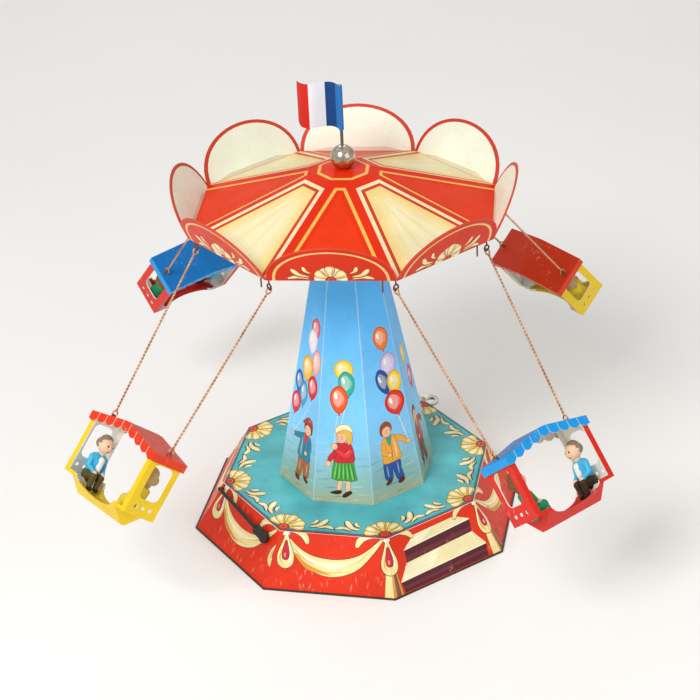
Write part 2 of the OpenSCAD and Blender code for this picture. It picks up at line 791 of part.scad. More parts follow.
// Seated figure at the end of a car where its back is; it faces the middle
module seated(back, hips, shoulders) {
    seat_z = -bench_z + thin_tin;
    hip_h = 7;
    chest_h = 9.5;
    head_r = 5.2;
    thigh_r = 2.3;
    shin_r = 1.5;
    arm_r = 1.3;
    fuller = 0.25;
    leg_y = 2.7;
    foot_y = 1.95;
    hip_x = car_l / 2 - thin_tin - 6.5;
    knee_x = well_l / 2 - thin_tin - 5.3;
    knee_z = seat_z + thigh_r + 1;
    foot_z = -bench_z - well_h + 2 * thin_tin + 4.5;
    chest_z = seat_z + hip_h - 0.1;
    arm_y = shoulders + 0.4;
    arm_z = chest_z + chest_h - 2.4;
    mirror([back > 0 ? 0 : 1, 0, 0]) {
        translate([hip_x, 0, seat_z]) cylinder(h = hip_h, r = hips);
        translate([hip_x, 0, chest_z]) cylinder(h = chest_h, r = shoulders);
        translate([hip_x - 0.6, 0, chest_z + chest_h + head_r * 0.85]) sphere(head_r);
        for (s = [-1, 1]) {
            rod([hip_x, leg_y * s, knee_z], [knee_x, leg_y * s, knee_z], thigh_r);
            translate([knee_x, leg_y * s, knee_z]) sphere(thigh_r + fuller);
            rod([knee_x, leg_y * s, knee_z], [knee_x - 1, foot_y * s, foot_z], shin_r);
            translate([knee_x - 1, foot_y * s, foot_z]) sphere(shin_r + fuller);
            rod([hip_x - 0.7, arm_y * s, arm_z], [hip_x - 5, arm_y * s, arm_z - 6], arm_r);
            translate([hip_x - 0.7, arm_y * s, arm_z]) sphere(arm_r + 2 * fuller);
            translate([hip_x - 5, arm_y * s, arm_z - 6]) sphere(arm_r + fuller);
        }
    }
}

module gentleman(k) {
    color("royalblue") on_car(k) seated(SEAT_ENDS[k - 1], 4.6, 4.4);
}

module lady(k) {
    color(DRESS_COLOURS[k - 1]) on_car(k) seated(-SEAT_ENDS[k - 1], 5.2, 4);
}

base_floor();
base_walls();
deck();
column();
column_cap();
foot_bearing();
front_plate();
back_plate();
plate_pillars();
mainspring();
great_wheel();
click();
first_arbor();
second_arbor();
governor_fly();
winding_arbor();
ratchet_wheel();
winding_key();
stop_lever();
drive_shaft();
crown_wheel();
canopy_hub();
hub_pin();
canopy();
canopy_lobes();
finial_ball();
flag_pole();
flag();
hooks();
hanger(1);  // hanger_1
car_body(1);  // car_body_1
car_roof(1);  // car_roof_1
gentleman(1);  // gentleman_1
lady(1);  // lady_1
hanger(2);  // hanger_2
car_body(2);  // car_body_2
car_roof(2);  // car_roof_2
gentleman(2);  // gentleman_2
lady(2);  // lady_2
hanger(3);  // hanger_3
car_body(3);  // car_body_3
car_roof(3);  // car_roof_3
gentleman(3);  // gentleman_3
lady(3);  // lady_3
hanger(4);  // hanger_4
car_body(4);  // car_body_4
car_roof(4);  // car_roof_4
gentleman(4);  // gentleman_4
lady(4);  // lady_4
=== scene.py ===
"""Looks of the clockwork swing carousel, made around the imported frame. Metres, +Z up, front towards -Y."""
import json
import math

import bmesh
import bpy
from mathutils import Matrix, Vector
from mathutils.geometry import delaunay_2d_cdt


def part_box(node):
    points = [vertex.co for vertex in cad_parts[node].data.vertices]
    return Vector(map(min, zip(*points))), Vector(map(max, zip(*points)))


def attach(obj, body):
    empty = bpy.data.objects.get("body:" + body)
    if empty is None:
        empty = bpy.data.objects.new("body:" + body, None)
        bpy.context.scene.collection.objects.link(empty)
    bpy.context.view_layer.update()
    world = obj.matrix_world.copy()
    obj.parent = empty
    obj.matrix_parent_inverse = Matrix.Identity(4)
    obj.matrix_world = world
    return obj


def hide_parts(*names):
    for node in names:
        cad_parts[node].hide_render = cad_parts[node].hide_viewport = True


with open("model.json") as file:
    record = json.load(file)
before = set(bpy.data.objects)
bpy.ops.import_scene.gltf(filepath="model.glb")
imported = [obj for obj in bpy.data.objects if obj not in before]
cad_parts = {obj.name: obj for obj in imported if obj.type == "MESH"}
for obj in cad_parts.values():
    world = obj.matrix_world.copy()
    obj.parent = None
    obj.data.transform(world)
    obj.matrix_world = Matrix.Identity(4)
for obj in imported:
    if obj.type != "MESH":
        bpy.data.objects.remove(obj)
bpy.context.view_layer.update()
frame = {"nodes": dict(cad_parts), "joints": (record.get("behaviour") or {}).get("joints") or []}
NODES = frame["nodes"]
JOINTS = {j["name"]: j for j in frame["joints"]}
MM = 0.001
SIDES = 8
HALF_SIDE = math.pi / SIDES
COS_HALF, SIN_HALF = math.cos(HALF_SIDE), math.sin(HALF_SIDE)
CARS = range(1, 5)


# ---- sizes read from the frame ----

def radii(node, z, near=0.00002):
    """How far from the axis a node's corners at height z are, nearest first."""
    return sorted({round(v.co.xy.length, 5) for v in NODES[node].data.vertices if abs(v.co.z - z) < near})


def levels(node):
    """The heights at which a node has corners, lowest first."""
    return sorted({round(v.co.z, 5) for v in NODES[node].data.vertices})


BASE_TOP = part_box("deck")[1].z
TIN = BASE_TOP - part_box("deck")[0].z
WALL_LOW, WALL_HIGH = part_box("base_walls")[0].z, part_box("base_walls")[1].z
WALL_R_LOW = radii("base_walls", WALL_LOW)[-1]
WALL_R_HIGH = radii("base_walls", WALL_HIGH)[-1]
DECK_R = radii("deck", BASE_TOP)[-1]
DECK_HOLE_R = radii("deck", BASE_TOP)[0]
COLUMN_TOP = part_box("column")[1].z
COLUMN_R_LOW = radii("column", BASE_TOP)[-1]
COLUMN_R_HIGH = radii("column", COLUMN_TOP)[-1]
RIM_Z, RING_Z_INNER, RING_Z, CROWN_Z_INNER, TOP_Z = levels("canopy")
RIM_R_INNER, RIM_R = radii("canopy", RIM_Z)
RING_R = radii("canopy", RING_Z)[-1]
SHAFT_R, CROWN_R = radii("canopy", TOP_Z)
THIN = RING_Z - RING_Z_INNER
HOOK_AXIS = Vector(JOINTS["hanger_1_swing"]["axis"])
ROTOR_TURN = math.atan2(HOOK_AXIS.y, HOOK_AXIS.x) + math.pi / 4


# ---- sizes that the part's source sets ----

HOOK_X, EYE_X = 32.69 * MM, 26.65 * MM  # half the distance between a hanger's two hooks, and its two eyes
LINK_R, LINK_OFF = 1.7 * MM, 0.75 * MM  # a wire ring, and how far its middle is from its joint
RING_WIRE_R, STRAND_R, TWIST_PITCH = 0.45 * MM, 0.35 * MM, 4.2 * MM
LOBE_RISE, LOBE_LEAN = 25 * MM, 13 * MM
LEVER_BORE_R, KEY_BORE_R = 1.26 * MM, 1.56 * MM
BENCH_DROP = 38 * MM  # from a car's joint down to its benches
SEAT_ENDS = {1: 1, 2: -1, 3: -1, 4: 1}  # the end of each car where the gentleman sits
SCALLOPS, SCALLOP_LINE = 9, 0.22 * MM
POLE_R, SLEEVE_R = 0.9 * MM, 1.4 * MM
FLAG_LENGTH, FLAG_THICK, FLAG_WAVE, FLAG_HEADING = 24 * MM, 0.5 * MM, 3.3 * MM, 171


# ---- colours ----

def rgb(code):
    """Linear colour of an sRGB code such as c8372a."""
    out = []
    for i in (0, 2, 4):
        c = int(code[i:i + 2], 16) / 255
        out.append(c / 12.92 if c <= 0.04045 else ((c + 0.055) / 1.055) ** 2.4)
    return (*out, 1.0)


def blend_of(a, b, t):
    """The colour a share t of the way from a to b."""
    t = min(1.0, max(0.0, t))
    return tuple(p + (q - p) * t for p, q in zip(a, b))


RED, BASE_RED, DEEP_RED, LOBE_RED = rgb("de2c08"), rgb("dc300e"), rgb("a81f18"), rgb("d8300e")
CREAM, PALE_CREAM, LEMON = rgb("f3dc9c"), rgb("fbeec6"), rgb("f6cf5e")
OCHRE, GOLD_LINE = rgb("d69a3c"), rgb("f7b658")
IVORY, WHITE, LOBE_CREAM = rgb("f5f2e8"), rgb("f4f2ea"), rgb("eef2e0")
BROWN, INK_DARK, MAROON = rgb("5a3018"), rgb("3a2418"), rgb("54202a")
TEAL_DARK, DECK_EDGE, TURQUOISE = rgb("1c4a50"), rgb("27747a"), rgb("56b4bc")
SKY, SKY_LIGHT = rgb("56b6fa"), rgb("84cdf6")
GROUND_GREEN, GROUND_CREAM = rgb("8cbab4"), rgb("b9b48c")
SKIN = rgb("f0bf98")
YELLOW, ORANGE_RED, CAR_RED = rgb("ecc81c"), rgb("de3a14"), rgb("d62618")
# The roof's top and its valance are one blue in a darker and a lighter tone: painted shade and painted light.
ROOF_BLUE, LIGHTER_VALANCE_BLUE = rgb("0a70b8"), rgb("1296e0")
WALL_LINING, CANOPY_LINING, COLUMN_LINING = rgb("9a8f76"), rgb("e8dfc8"), rgb("9a9c94")
CAR_PAINTS = {1: (YELLOW, ORANGE_RED), 2: (CAR_RED, ROOF_BLUE), 3: (YELLOW, ORANGE_RED),
              4: (CAR_RED, ROOF_BLUE)}


def arc(n):
    """Cosine and sine of n even steps round a full turn."""
    return [(math.cos(2 * math.pi * i / n), math.sin(2 * math.pi * i / n)) for i in range(n)]


# ---- flat artwork, in millimetres on its facet ----

def circle(x, y, rx, ry=None, turn=0.0, n=20):
    """Points of an ellipse."""
    ry = rx if ry is None else ry
    c, s = math.cos(turn), math.sin(turn)
    return [(x + c * p * rx - s * q * ry, y + s * p * rx + c * q * ry) for p, q in arc(n)]


def spline(points, closed=False, steps=5):
    """Smooth curve through the points."""
    n = len(points)
    out = []
    for i in range(n if closed else n - 1):
        near = [points[(i + j) % n if closed else min(n - 1, max(0, i + j))] for j in (-1, 0, 1, 2)]
        for k in range(steps):
            t = k / steps
            out.append(tuple(0.5 * (2 * b + (c - a) * t + (2 * a - 5 * b + 4 * c - d) * t * t
                                    + (3 * b - a - 3 * c + d) * t ** 3) for a, b, c, d in zip(*near)))
    if not closed:
        out.append(tuple(points[-1]))
    return out


def blob(*points):
    """Smooth closed outline through given points."""
    return spline(list(points), closed=True)


def stroke(points, widths, steps=5):
    """Outline of a brush stroke along the points; widths runs along it evenly."""
    line = spline(points, steps=steps)
    n = len(line)
    left, right = [], []
    for i, (x, y) in enumerate(line):
        a, b = line[max(0, i - 1)], line[min(n - 1, i + 1)]
        dx, dy = b[0] - a[0], b[1] - a[1]
        d = math.hypot(dx, dy) or 1.0
        s = i / (n - 1) * (len(widths) - 1)
        k = min(len(widths) - 2, int(s))
        w = (widths[k] + (widths[k + 1] - widths[k]) * (s - k)) / 2
        left.append((x - dy / d * w, y + dx / d * w))
        right.append((x + dy / d * w, y - dx / d * w))
    return left + right[::-1]


def area(points):
    """Area of an outline, positive where it runs anticlockwise."""
    return 0.5 * sum(a[0] * b[1] - b[0] * a[1] for a, b in zip(points, points[1:] + points[:1]))


def grown(points, by):
    """The outline moved outward by a small distance."""
    if area(points) < 0:
        points = points[::-1]
    n = len(points)
    out = []
    for i in range(n):
        a, b, p = points[i - 1], points[(i + 1) % n], points[i]
        dx, dy = b[0] - a[0], b[1] - a[1]
        d = math.hypot(dx, dy) or 1.0
        out.append((p[0] + dy / d * by, p[1] - dx / d * by))
    return out


def lined(points, ink, line=INK_DARK, by=0.22):
    """A filled outline with a thin darker line round it."""
    return [(grown(points, by), line), (points, ink)]


def patch(ink, line, by, *points):
    """A smooth filled patch with a thin line round it."""
    return lined(blob(*points), ink, line, by)


def brush(ink, widths, *points):
    """One brush stroke."""
    return [(stroke(points, widths), ink)]


def shade(ink, t=0.6):
    """The ink of an outline round another ink."""
    return blend_of(ink, INK_DARK, t)


def put(shapes, x=0.0, y=0.0, turn=0.0, scale=1.0, flip=False):
    """The shapes moved, turned, scaled and mirrored."""
    c, s = math.cos(turn) * scale, math.sin(turn) * scale
    f = -1 if flip else 1
    return [([(x + c * f * p - s * q, y + s * f * p + c * q) for p, q in pts], ink) for pts, ink in shapes]


def clipped(points, hull, margin):
    """The part of the outline inside a convex anticlockwise hull, kept a margin clear of its edges."""
    if area(points) < 0:
        points = points[::-1]
    for a, b in zip(hull, hull[1:] + hull[:1]):
        dx, dy = b[0] - a[0], b[1] - a[1]
        d = math.hypot(dx, dy)
        nx, ny = -dy / d, dx / d

        def depth(p):
            return (p[0] - a[0]) * nx + (p[1] - a[1]) * ny - margin
        out = []
        for p, q in zip(points, points[1:] + points[:1]):
            dp, dq = depth(p), depth(q)
            if dp >= 0:
                out.append(p)
            if (dp >= 0) != (dq >= 0):
                t = dp / (dp - dq)
                out.append((p[0] + (q[0] - p[0]) * t, p[1] + (q[1] - p[1]) * t))
        points = out
        if len(points) < 3:
            return []
    return points


# ---- printed tin ----

class Tin:
    """A closed sheet of printed tin. Its faces carry their print as the colour attribute ink."""

    def __init__(self):
        self.bm = bmesh.new()
        self.ink = self.bm.loops.layers.float_color.new("ink")

    def face(self, points, ink):
        try:
            f = self.bm.faces.new([self.bm.verts.new(p) for p in points])
        except ValueError:
            return
        for loop in f.loops:
            loop[self.ink] = ink

    def panel(self, corners, ground, shapes=(), axes=None, holes=(), margin=0.06):
        """A flat facet, its corners anticlockwise from outside. axes is (origin, across, up) of its artwork;
        without it, artwork is measured from the middle of the first edge. Holes are loops of points in it."""
        if axes is None:
            across = (corners[1] - corners[0]).normalized()
            normal = across.cross(corners[2] - corners[1]).normalized()
            axes = ((corners[0] + corners[1]) / 2, across, normal.cross(across))
        o, u, v = axes

        def flat(p):
            return ((p - o).dot(u) / MM, (p - o).dot(v) / MM)
        hull = [flat(p) for p in corners]
        layers, inks = [hull], [ground]
        for points, ink in shapes:
            points = clipped(points, hull, margin)
            if points and abs(area(points)) > 1e-4:
                layers.append(points)
                inks.append(ink)
        for hole in holes:
            layers.append([flat(p) for p in hole])
            inks.append(None)
        verts, faces = [], []
        for points in layers:
            if area(points) < 0:
                points = points[::-1]
            faces.append(list(range(len(verts), len(verts) + len(points))))
            verts.extend(Vector(p) for p in points)
        out_v, _, out_f, _, _, within = delaunay_2d_cdt(verts, [], faces, 1, 1e-5, True)
        made = [self.bm.verts.new(o + u * (p.x * MM) + v * (p.y * MM)) for p in out_v]
        for tri, owners in zip(out_f, within):
            ink = inks[max(owners)] if owners else None
            if ink is None:
                continue
            if area([tuple(out_v[i]) for i in tri]) < 0:
                tri = tri[::-1]
            f = self.bm.faces.new([made[i] for i in tri])
            for i, loop in zip(tri, f.loops):
                loop[self.ink] = ink(out_v[i].x, out_v[i].y) if callable(ink) else ink

    def band(self, low, high, ink):
        """Quads between two loops of as many points."""
        n = len(low)
        for i in range(n):
            j = (i + 1) % n
            self.face([low[i], low[j], high[j], high[i]], ink)

    def finish(self, name, body, material, node):
        bmesh.ops.remove_doubles(self.bm, verts=self.bm.verts, dist=2e-7)
        loose = [v for v in self.bm.verts if not v.link_faces]
        bmesh.ops.delete(self.bm, geom=loose, context="VERTS")
        made_object(mesh_of(self.bm, name), body, material, node, False)


def mesh_of(bm, name):
    """The bmesh as a mesh; the bmesh is used up."""
    mesh = bpy.data.meshes.new(name)
    bm.to_mesh(mesh)
    bm.free()
    return mesh


def made_object(mesh, body, material, node, smooth=True):
    """A piece that rides on a body and stands for one node of the frame."""
    obj = bpy.data.objects.new(mesh.name, mesh)
    bpy.context.scene.collection.objects.link(obj)
    mesh.materials.clear()
    mesh.materials.append(material)
    for p in mesh.polygons:
        p.use_smooth = smooth
    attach(obj, body)
    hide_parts(node)


# ---- materials ----

class Nodes:
    """Short calls for building one material's node tree."""

    def __init__(self, name):
        self.mat = bpy.data.materials.new(name)
        self.mat.use_nodes = True
        self.tree = self.mat.node_tree
        self.bsdf = self.tree.nodes["Principled BSDF"]
        self.coords = self.tree.nodes.new("ShaderNodeTexCoord").outputs["Object"]

    def link(self, a, b):
        self.tree.links.new(a, b)

    def noise(self, scale, detail=4.0, rough=0.55, stretch=None):
        """Noise of so many features a metre."""
        node = self.tree.nodes.new("ShaderNodeTexNoise")
        node.inputs["Scale"].default_value = scale
        node.inputs["Detail"].default_value = detail
        node.inputs["Roughness"].default_value = rough
        source = self.coords
        if stretch:
            mapping = self.tree.nodes.new("ShaderNodeMapping")
            mapping.inputs["Scale"].default_value = stretch
            self.link(self.coords, mapping.inputs["Vector"])
            source = mapping.outputs["Vector"]
        self.link(source, node.inputs["Vector"])
        return node.outputs["Fac"]

    def span(self, value, low, high, to_low, to_high):
        """value mapped from low..high to to_low..to_high, held at the ends."""
        node = self.tree.nodes.new("ShaderNodeMapRange")
        for i, x in enumerate((low, high, to_low, to_high)):
            node.inputs[i + 1].default_value = x
        self.link(value, node.inputs[0])
        return node.outputs[0]

    def mix(self, fac, a, b, how="MIX"):
        """Colour mix; a and b are sockets or colours, fac a socket or a number."""
        node = self.tree.nodes.new("ShaderNodeMix")
        node.data_type = "RGBA"
        node.blend_type = how
        for value, socket in ((fac, node.inputs[0]), (a, node.inputs[6]), (b, node.inputs[7])):
            if hasattr(value, "links"):
                self.link(value, socket)
            else:
                socket.default_value = value
        return node.outputs[2]

    def grey(self, value):
        """A colour of equal parts from a number socket."""
        node = self.tree.nodes.new("ShaderNodeCombineColor")
        for i in range(3):
            self.link(value, node.inputs[i])
        return node.outputs[0]

    def attribute(self, name):
        node = self.tree.nodes.new("ShaderNodeAttribute")
        node.attribute_name = name
        return node.outputs["Color"]

    def bump(self, height, strength, distance):
        node = self.tree.nodes.new("ShaderNodeBump")
        node.inputs["Strength"].default_value = strength
        node.inputs["Distance"].default_value = distance
        self.link(height, node.inputs["Height"])
        self.link(node.outputs["Normal"], self.bsdf.inputs["Normal"])

    def set(self, **values):
        for key, value in values.items():
            socket = self.bsdf.inputs[key.replace("_", " ")]
            if hasattr(value, "links"):
                self.link(value, socket)
            else:
                socket.default_value = value


def litho(name, mottle=0.10, grain=900.0, scuff=0.0, scuff_ink=IVORY, coat=0.12, rough=0.42,
          sheen=0.35):
    """Printed and varnished tin: the ink, its uneven tone, pale scuffs and a slightly rippled varnish."""
    n = Nodes(name)
    tone = n.span(n.noise(38.0, 5.0), 0.3, 0.7, 1 - mottle, 1 + mottle)
    fine = n.span(n.noise(grain, 3.0), 0.3, 0.7, 1 - mottle * 0.6, 1 + mottle * 0.6)
    colour = n.mix(1.0, n.attribute("ink"), n.grey(tone), "MULTIPLY")
    colour = n.mix(1.0, colour, n.grey(fine), "MULTIPLY")
    if scuff:
        worn = n.span(n.noise(60.0, 3.0), 0.5, 0.62, 0.0, 1.0)
        marks = n.span(n.noise(420.0, 6.0, 0.7, (1.0, 1.0, 0.35)), 0.56, 0.72, 0.0, scuff)
        both = n.tree.nodes.new("ShaderNodeMath")
        both.operation = "MULTIPLY"
        n.link(worn, both.inputs[0])
        n.link(marks, both.inputs[1])
        colour = n.mix(both.outputs[0], colour, scuff_ink)
    n.set(Base_Color=colour, Roughness=n.span(n.noise(120.0, 4.0), 0.3, 0.7, rough - 0.06, rough + 0.1),
          Coat_Weight=coat, Coat_Roughness=0.18, IOR=1.34, Specular_IOR_Level=sheen)
    n.bump(n.noise(70.0, 2.0), 0.16, 0.0006)
    return n.mat


def metal(name, light, dark, rough=0.28, scale=400.0):
    """Bare or plated metal with fine drawn marks and darker tarnish."""
    n = Nodes(name)
    tarnish = n.span(n.noise(90.0, 5.0), 0.35, 0.7, 0.0, 1.0)
    n.set(Base_Color=n.mix(tarnish, light, dark), Metallic=1.0,
          Roughness=n.span(n.noise(scale, 4.0, 0.6), 0.3, 0.7, rough - 0.08, rough + 0.14))
    n.bump(n.noise(scale * 2, 3.0, 0.6), 0.12, 0.0001)
    return n.mat


def paint(name, base, worn, rough=0.4, scale=260.0):
    """Brushed or dipped paint, a little uneven and worn through to a second colour."""
    n = Nodes(name)
    wear = n.span(n.noise(scale, 6.0, 0.65), 0.52, 0.74, 0.0, 0.65)
    n.set(Base_Color=n.mix(wear, base, worn),
          Roughness=n.span(n.noise(scale, 3.0), 0.3, 0.7, rough - 0.08, rough + 0.12))
    n.bump(n.noise(scale * 3, 3.0), 0.2, 0.0002)
    return n.mat


def octagon(radius, z, turn=0.0):
    """Corners of a level octagon; corner k starts facet k, and facet 0 faces the front."""
    first = -math.pi / 2 - HALF_SIDE + turn
    turns = [first + k * math.pi / 4 for k in range(SIDES)]
    return [Vector((radius * math.cos(a), radius * math.sin(a), z)) for a in turns]


def facet(low, high, k):
    """The four corners of facet k between two octagons, anticlockwise from outside."""
    j = (k + 1) % SIDES
    return [low[k], low[j], high[j], high[k]]


def shifted_in(radius, by):
    """Corner radius of an octagon whose sides lie a distance inside those of another."""
    return radius - by / COS_HALF


def facet_size(r_low, z_low, r_high, z_high):
    """Half the lower edge, half the upper edge and the height of a facet, in millimetres."""
    slant = math.hypot(z_high - z_low, (r_low - r_high) * COS_HALF)
    return r_low * SIN_HALF / MM, r_high * SIN_HALF / MM, slant / MM


# ---- artwork ----

def comma(points, widths, ink=CREAM, line=TEAL_DARK):
    """A comma-shaped leaf along the points, from its thin tail to its round head."""
    body = stroke(points, widths)
    light = stroke(points[1:], [0.2, widths[-2] * 0.4, 0.2])
    shadow = [(x + 0.45, y - 0.6) for x, y in grown(body, 0.15)]
    return [(shadow, line), (grown(body, 0.3), line), (body, ink), (light, PALE_CREAM)]


def daisy(reach, petals, spread, core, ink=LEMON, line=TEAL_DARK, squash=1.0):
    """Petals fanned about +y over twice the spread, with a red heart at the origin."""
    shapes = []
    for i in sorted(range(petals), key=lambda i: i % 2):
        a = -spread + 2 * spread * i / (petals - 1)
        w = reach * math.tan(spread / (petals - 1)) * 1.12
        r = reach * (1.0 if i % 2 else 0.95)
        petal = blob((0, r * 0.1), (w * 0.5, r * 0.42), (w * 0.95, r * 0.72), (w * 0.62, r * 0.96),
                     (-w * 0.62, r * 0.96), (-w * 0.95, r * 0.72), (-w * 0.5, r * 0.42))
        glow = blob((-w * 0.1, r * 0.5), (w * 0.5, r * 0.72), (w * 0.1, r * 0.92), (-w * 0.55, r * 0.8))
        fold = stroke([(w * 0.1, r * 0.3), (w * 0.62, r * 0.62), (w * 0.6, r * 0.84)], [0.2, w * 0.34, 0.1])
        shapes += put([(grown(petal, 0.36), line), (petal, ink), (fold, OCHRE), (glow, PALE_CREAM)], turn=a)
    for y, rx, ry, heart in ((0, 1.15, 0.92, line), (0, 1.0, 0.78, rgb("c42a1c")),
                             (0.05, 0.66, 0.48, rgb("e8603a")),
                             (0, 0.4, 0.26, rgb("b42418"))):
        shapes.append((circle(0, core * y, core * rx, core * ry), heart))
    return [([(x, y * squash) for x, y in pts], colour) for pts, colour in shapes]


def ribbon_tail(points, widths):
    """A comma of ribbon beside a knot."""
    return lined(stroke(points, widths), CREAM, BROWN, 0.3)


def swag():
    """The ribbon hung between two corners of a base wall, with a comma of ribbon at each knot."""
    upper = [(-28.6, 33.2), (-19.4, 24.6), (-11, 20.4), (0, 18.9), (11, 20.4), (19.4, 24.6), (28.6, 33.2)]
    lower = [(29, 31.5), (24, 24), (16.6, 15.2), (8.6, 10.8), (0, 9.2), (-8.6, 10.8), (-16.6, 15.2),
             (-24, 24), (-29, 31.5)]
    light = spline([(-22, 25.2), (-12, 18.6), (0, 16.8), (12, 18.6), (20, 24)])
    light += spline([(14, 17.8), (0, 13.8), (-14, 17.2)])
    dark = spline([(-23, 22), (-15, 13.4), (-7, 10.6), (2, 9.8)])
    dark += spline([(-4, 11.8), (-14, 15.6), (-20, 21)])
    shapes = lined(spline(upper) + spline(lower), CREAM, BROWN, 0.35) + [(light, PALE_CREAM), (dark, OCHRE)]
    for fold in ([(-24, 27), (-17, 19), (-8, 15)], [(23, 27), (17, 20), (9, 16)],
                 [(-12, 13), (0, 11.4), (10, 13)]):
        shapes += brush(OCHRE, [0.1, 0.5, 0.1], *fold)
    tail = ribbon_tail([(-28.5, 33.4), (-21.5, 34), (-16.4, 31.4), (-14.2, 27)], [0.9, 2.4, 3.4, 3.6, 1.6])
    tail += brush(PALE_CREAM, [0.2, 0.9, 0.3], (-24, 33.4), (-17.5, 31.4), (-15, 28.6))
    return shapes + tail + put(tail, flip=True)


def loop_of_ribbon(with_tails):
    """The hanging loop at a corner, downward from its knot at the origin."""
    shapes = []
    if with_tails:
        shapes += lined([(-3, -18), (3.2, -18), (7, -36), (-6.6, -36)], OCHRE, BROWN, 0.3)
        shapes.append(([(-2.8, -18), (0.2, -18), (-0.4, -36), (-6, -36)], CREAM))
        shapes.append(([(1.2, -18), (2.6, -18), (5.4, -36), (1.6, -36)], rgb("80523c")))
    shapes += patch(CREAM, BROWN, 0.38, (0, 0.5), (2.1, -5), (4.7, -12), (4.1, -17.6), (0, -20),
                    (-4.1, -17.6), (-4.7, -12), (-2.1, -5))
    shapes.append((blob((0.8, -2), (2.6, -8), (3.6, -13), (2.4, -17), (2.0, -12), (1.2, -6)), PALE_CREAM))
    shapes += brush(OCHRE, [0.2, 0.8, 0.2], (-2.2, -9), (-3.2, -14), (-1.4, -17.6))
    shapes += patch(rgb("c22a3a"), BROWN, 0.4, (0, -4), (1.3, -8), (1.9, -12), (1.2, -14.6), (-1.2, -14.6),
                    (-1.9, -12), (-1.3, -8))
    return shapes + [(circle(-0.4, -12.4, 0.6, 1.4), rgb("f08a8a")), (circle(0, 0.2, 1.8, 1.3), IVORY)]


def steps_up():
    """Two printed steps."""
    tread, light, edge, dusk = rgb("efe0ac"), rgb("f6edc6"), rgb("fbf3d0"), rgb("6b2c34")
    return [([(-22.6, 23.4), (-14, 29.2), (15, 29.8), (24.4, 25.2)], tread),
            ([(-21, 24.6), (-14, 29.2), (0, 29.5), (-9, 24.2)], light),
            ([(-22.6, 23.4), (24.4, 25.2), (23.4, 17.6), (-23.5, 15.9)], MAROON),
            ([(-22.8, 22.9), (24.3, 24.7), (24.4, 25.3), (-22.6, 23.6)], edge),
            ([(-23.5, 15.9), (23.4, 17.6), (30, 8.2), (-30.9, 7.1)], tread),
            ([(-25, 14.6), (0, 16.4), (-8, 8.2), (-29, 7.4)], light),
            ([(-30.9, 7.1), (30, 8.2), (29, 0.4), (-30.4, 0.4)], MAROON),
            ([(-30.8, 6.6), (29.9, 7.7), (30, 8.4), (-30.9, 7.3)], edge),
            ([(-23.4, 16.6), (-23.0, 19.4), (23.6, 20.6), (23.5, 18.6)], dusk),
            ([(-30.6, 2.2), (-30.6, 3.8), (29.4, 5.2), (29.3, 3.6)], dusk)]


def rubbed_spots(k, half_low):
    """Pale spots where the red has rubbed thin, low on a base wall."""
    shapes = []
    for i in range(22):
        x = -half_low + 5 + (i * 17.3 + i * i * 5.1 + k * 11) % (2 * half_low - 10)
        y = 2.5 + 9.5 * abs(math.sin(i * 1.9 + k)) ** 2
        size = 0.9 + 1.5 * abs(math.sin(i * 2.7 + k))
        tint = blend_of(BASE_RED, rgb("f2a08c"), 0.12 + 0.3 * abs(math.sin(i * 4.3)))
        lean = 0.35 * size * math.sin(i * 3.3)
        shapes.append((stroke([(x - lean, y - size), (x, y), (x + lean, y + size)], [0.1, size * 0.5, 0.1]),
                       tint))
    return shapes


def base_wall_art(k, half_top, half_low, height):
    """Print of base wall k: steps on the front right one, a swag on the others."""
    shapes = rubbed_spots(k, half_low) + (steps_up() if k == 1 else swag())
    if k == 1:
        tail = ribbon_tail([(-28.5, 33.4), (-22, 33.8), (-17, 31.4), (-14.8, 28)], [0.9, 2.2, 3.0, 2.8, 1.4])
        shapes += tail + put(tail, flip=True)
    lean = math.atan2(half_low - half_top, height)
    for side, corner in ((-1, k), (1, (k + 1) % SIDES)):
        if corner in (0, 7):
            shapes += put(loop_of_ribbon(False), side * half_top + 4.4, height - 1.0)
        else:
            shapes += put(loop_of_ribbon(True), side * half_top, height - 0.8, turn=side * lean)
    return shapes


def deck_art(radius):
    """Daisies at the corners of the deck and leaves along its edges, from the middle of the deck, mm."""
    shapes = []
    edge, half = radius * COS_HALF, radius * SIN_HALF
    leaves = comma([(16.3, 8.1), (18.6, 9.4), (19.8, 12.2)], [0.3, 1.5, 2.3, 1.0])
    leaves += comma([(15.8, 5.0), (21.4, 7.0), (25.4, 13.2)], [0.3, 1.7, 2.6, 3.6, 1.6])
    leaves += comma([(20.6, 3.7), (26.0, 6.2), (30.4, 4.5)], [0.3, 1.9, 2.7, 0.9])
    for k in range(SIDES):
        turn = k * math.pi / 4
        for flip in (False, True):
            shapes += put(put(leaves, half if flip else -half, -edge, flip=flip), turn=turn)
        a = -math.pi / 2 - HALF_SIDE + turn
        r = radius - 3.4
        shapes += put(daisy(12.8, 7, 1.16, 3.4), r * math.cos(a), r * math.sin(a), turn=a + math.pi / 2)
    return shapes


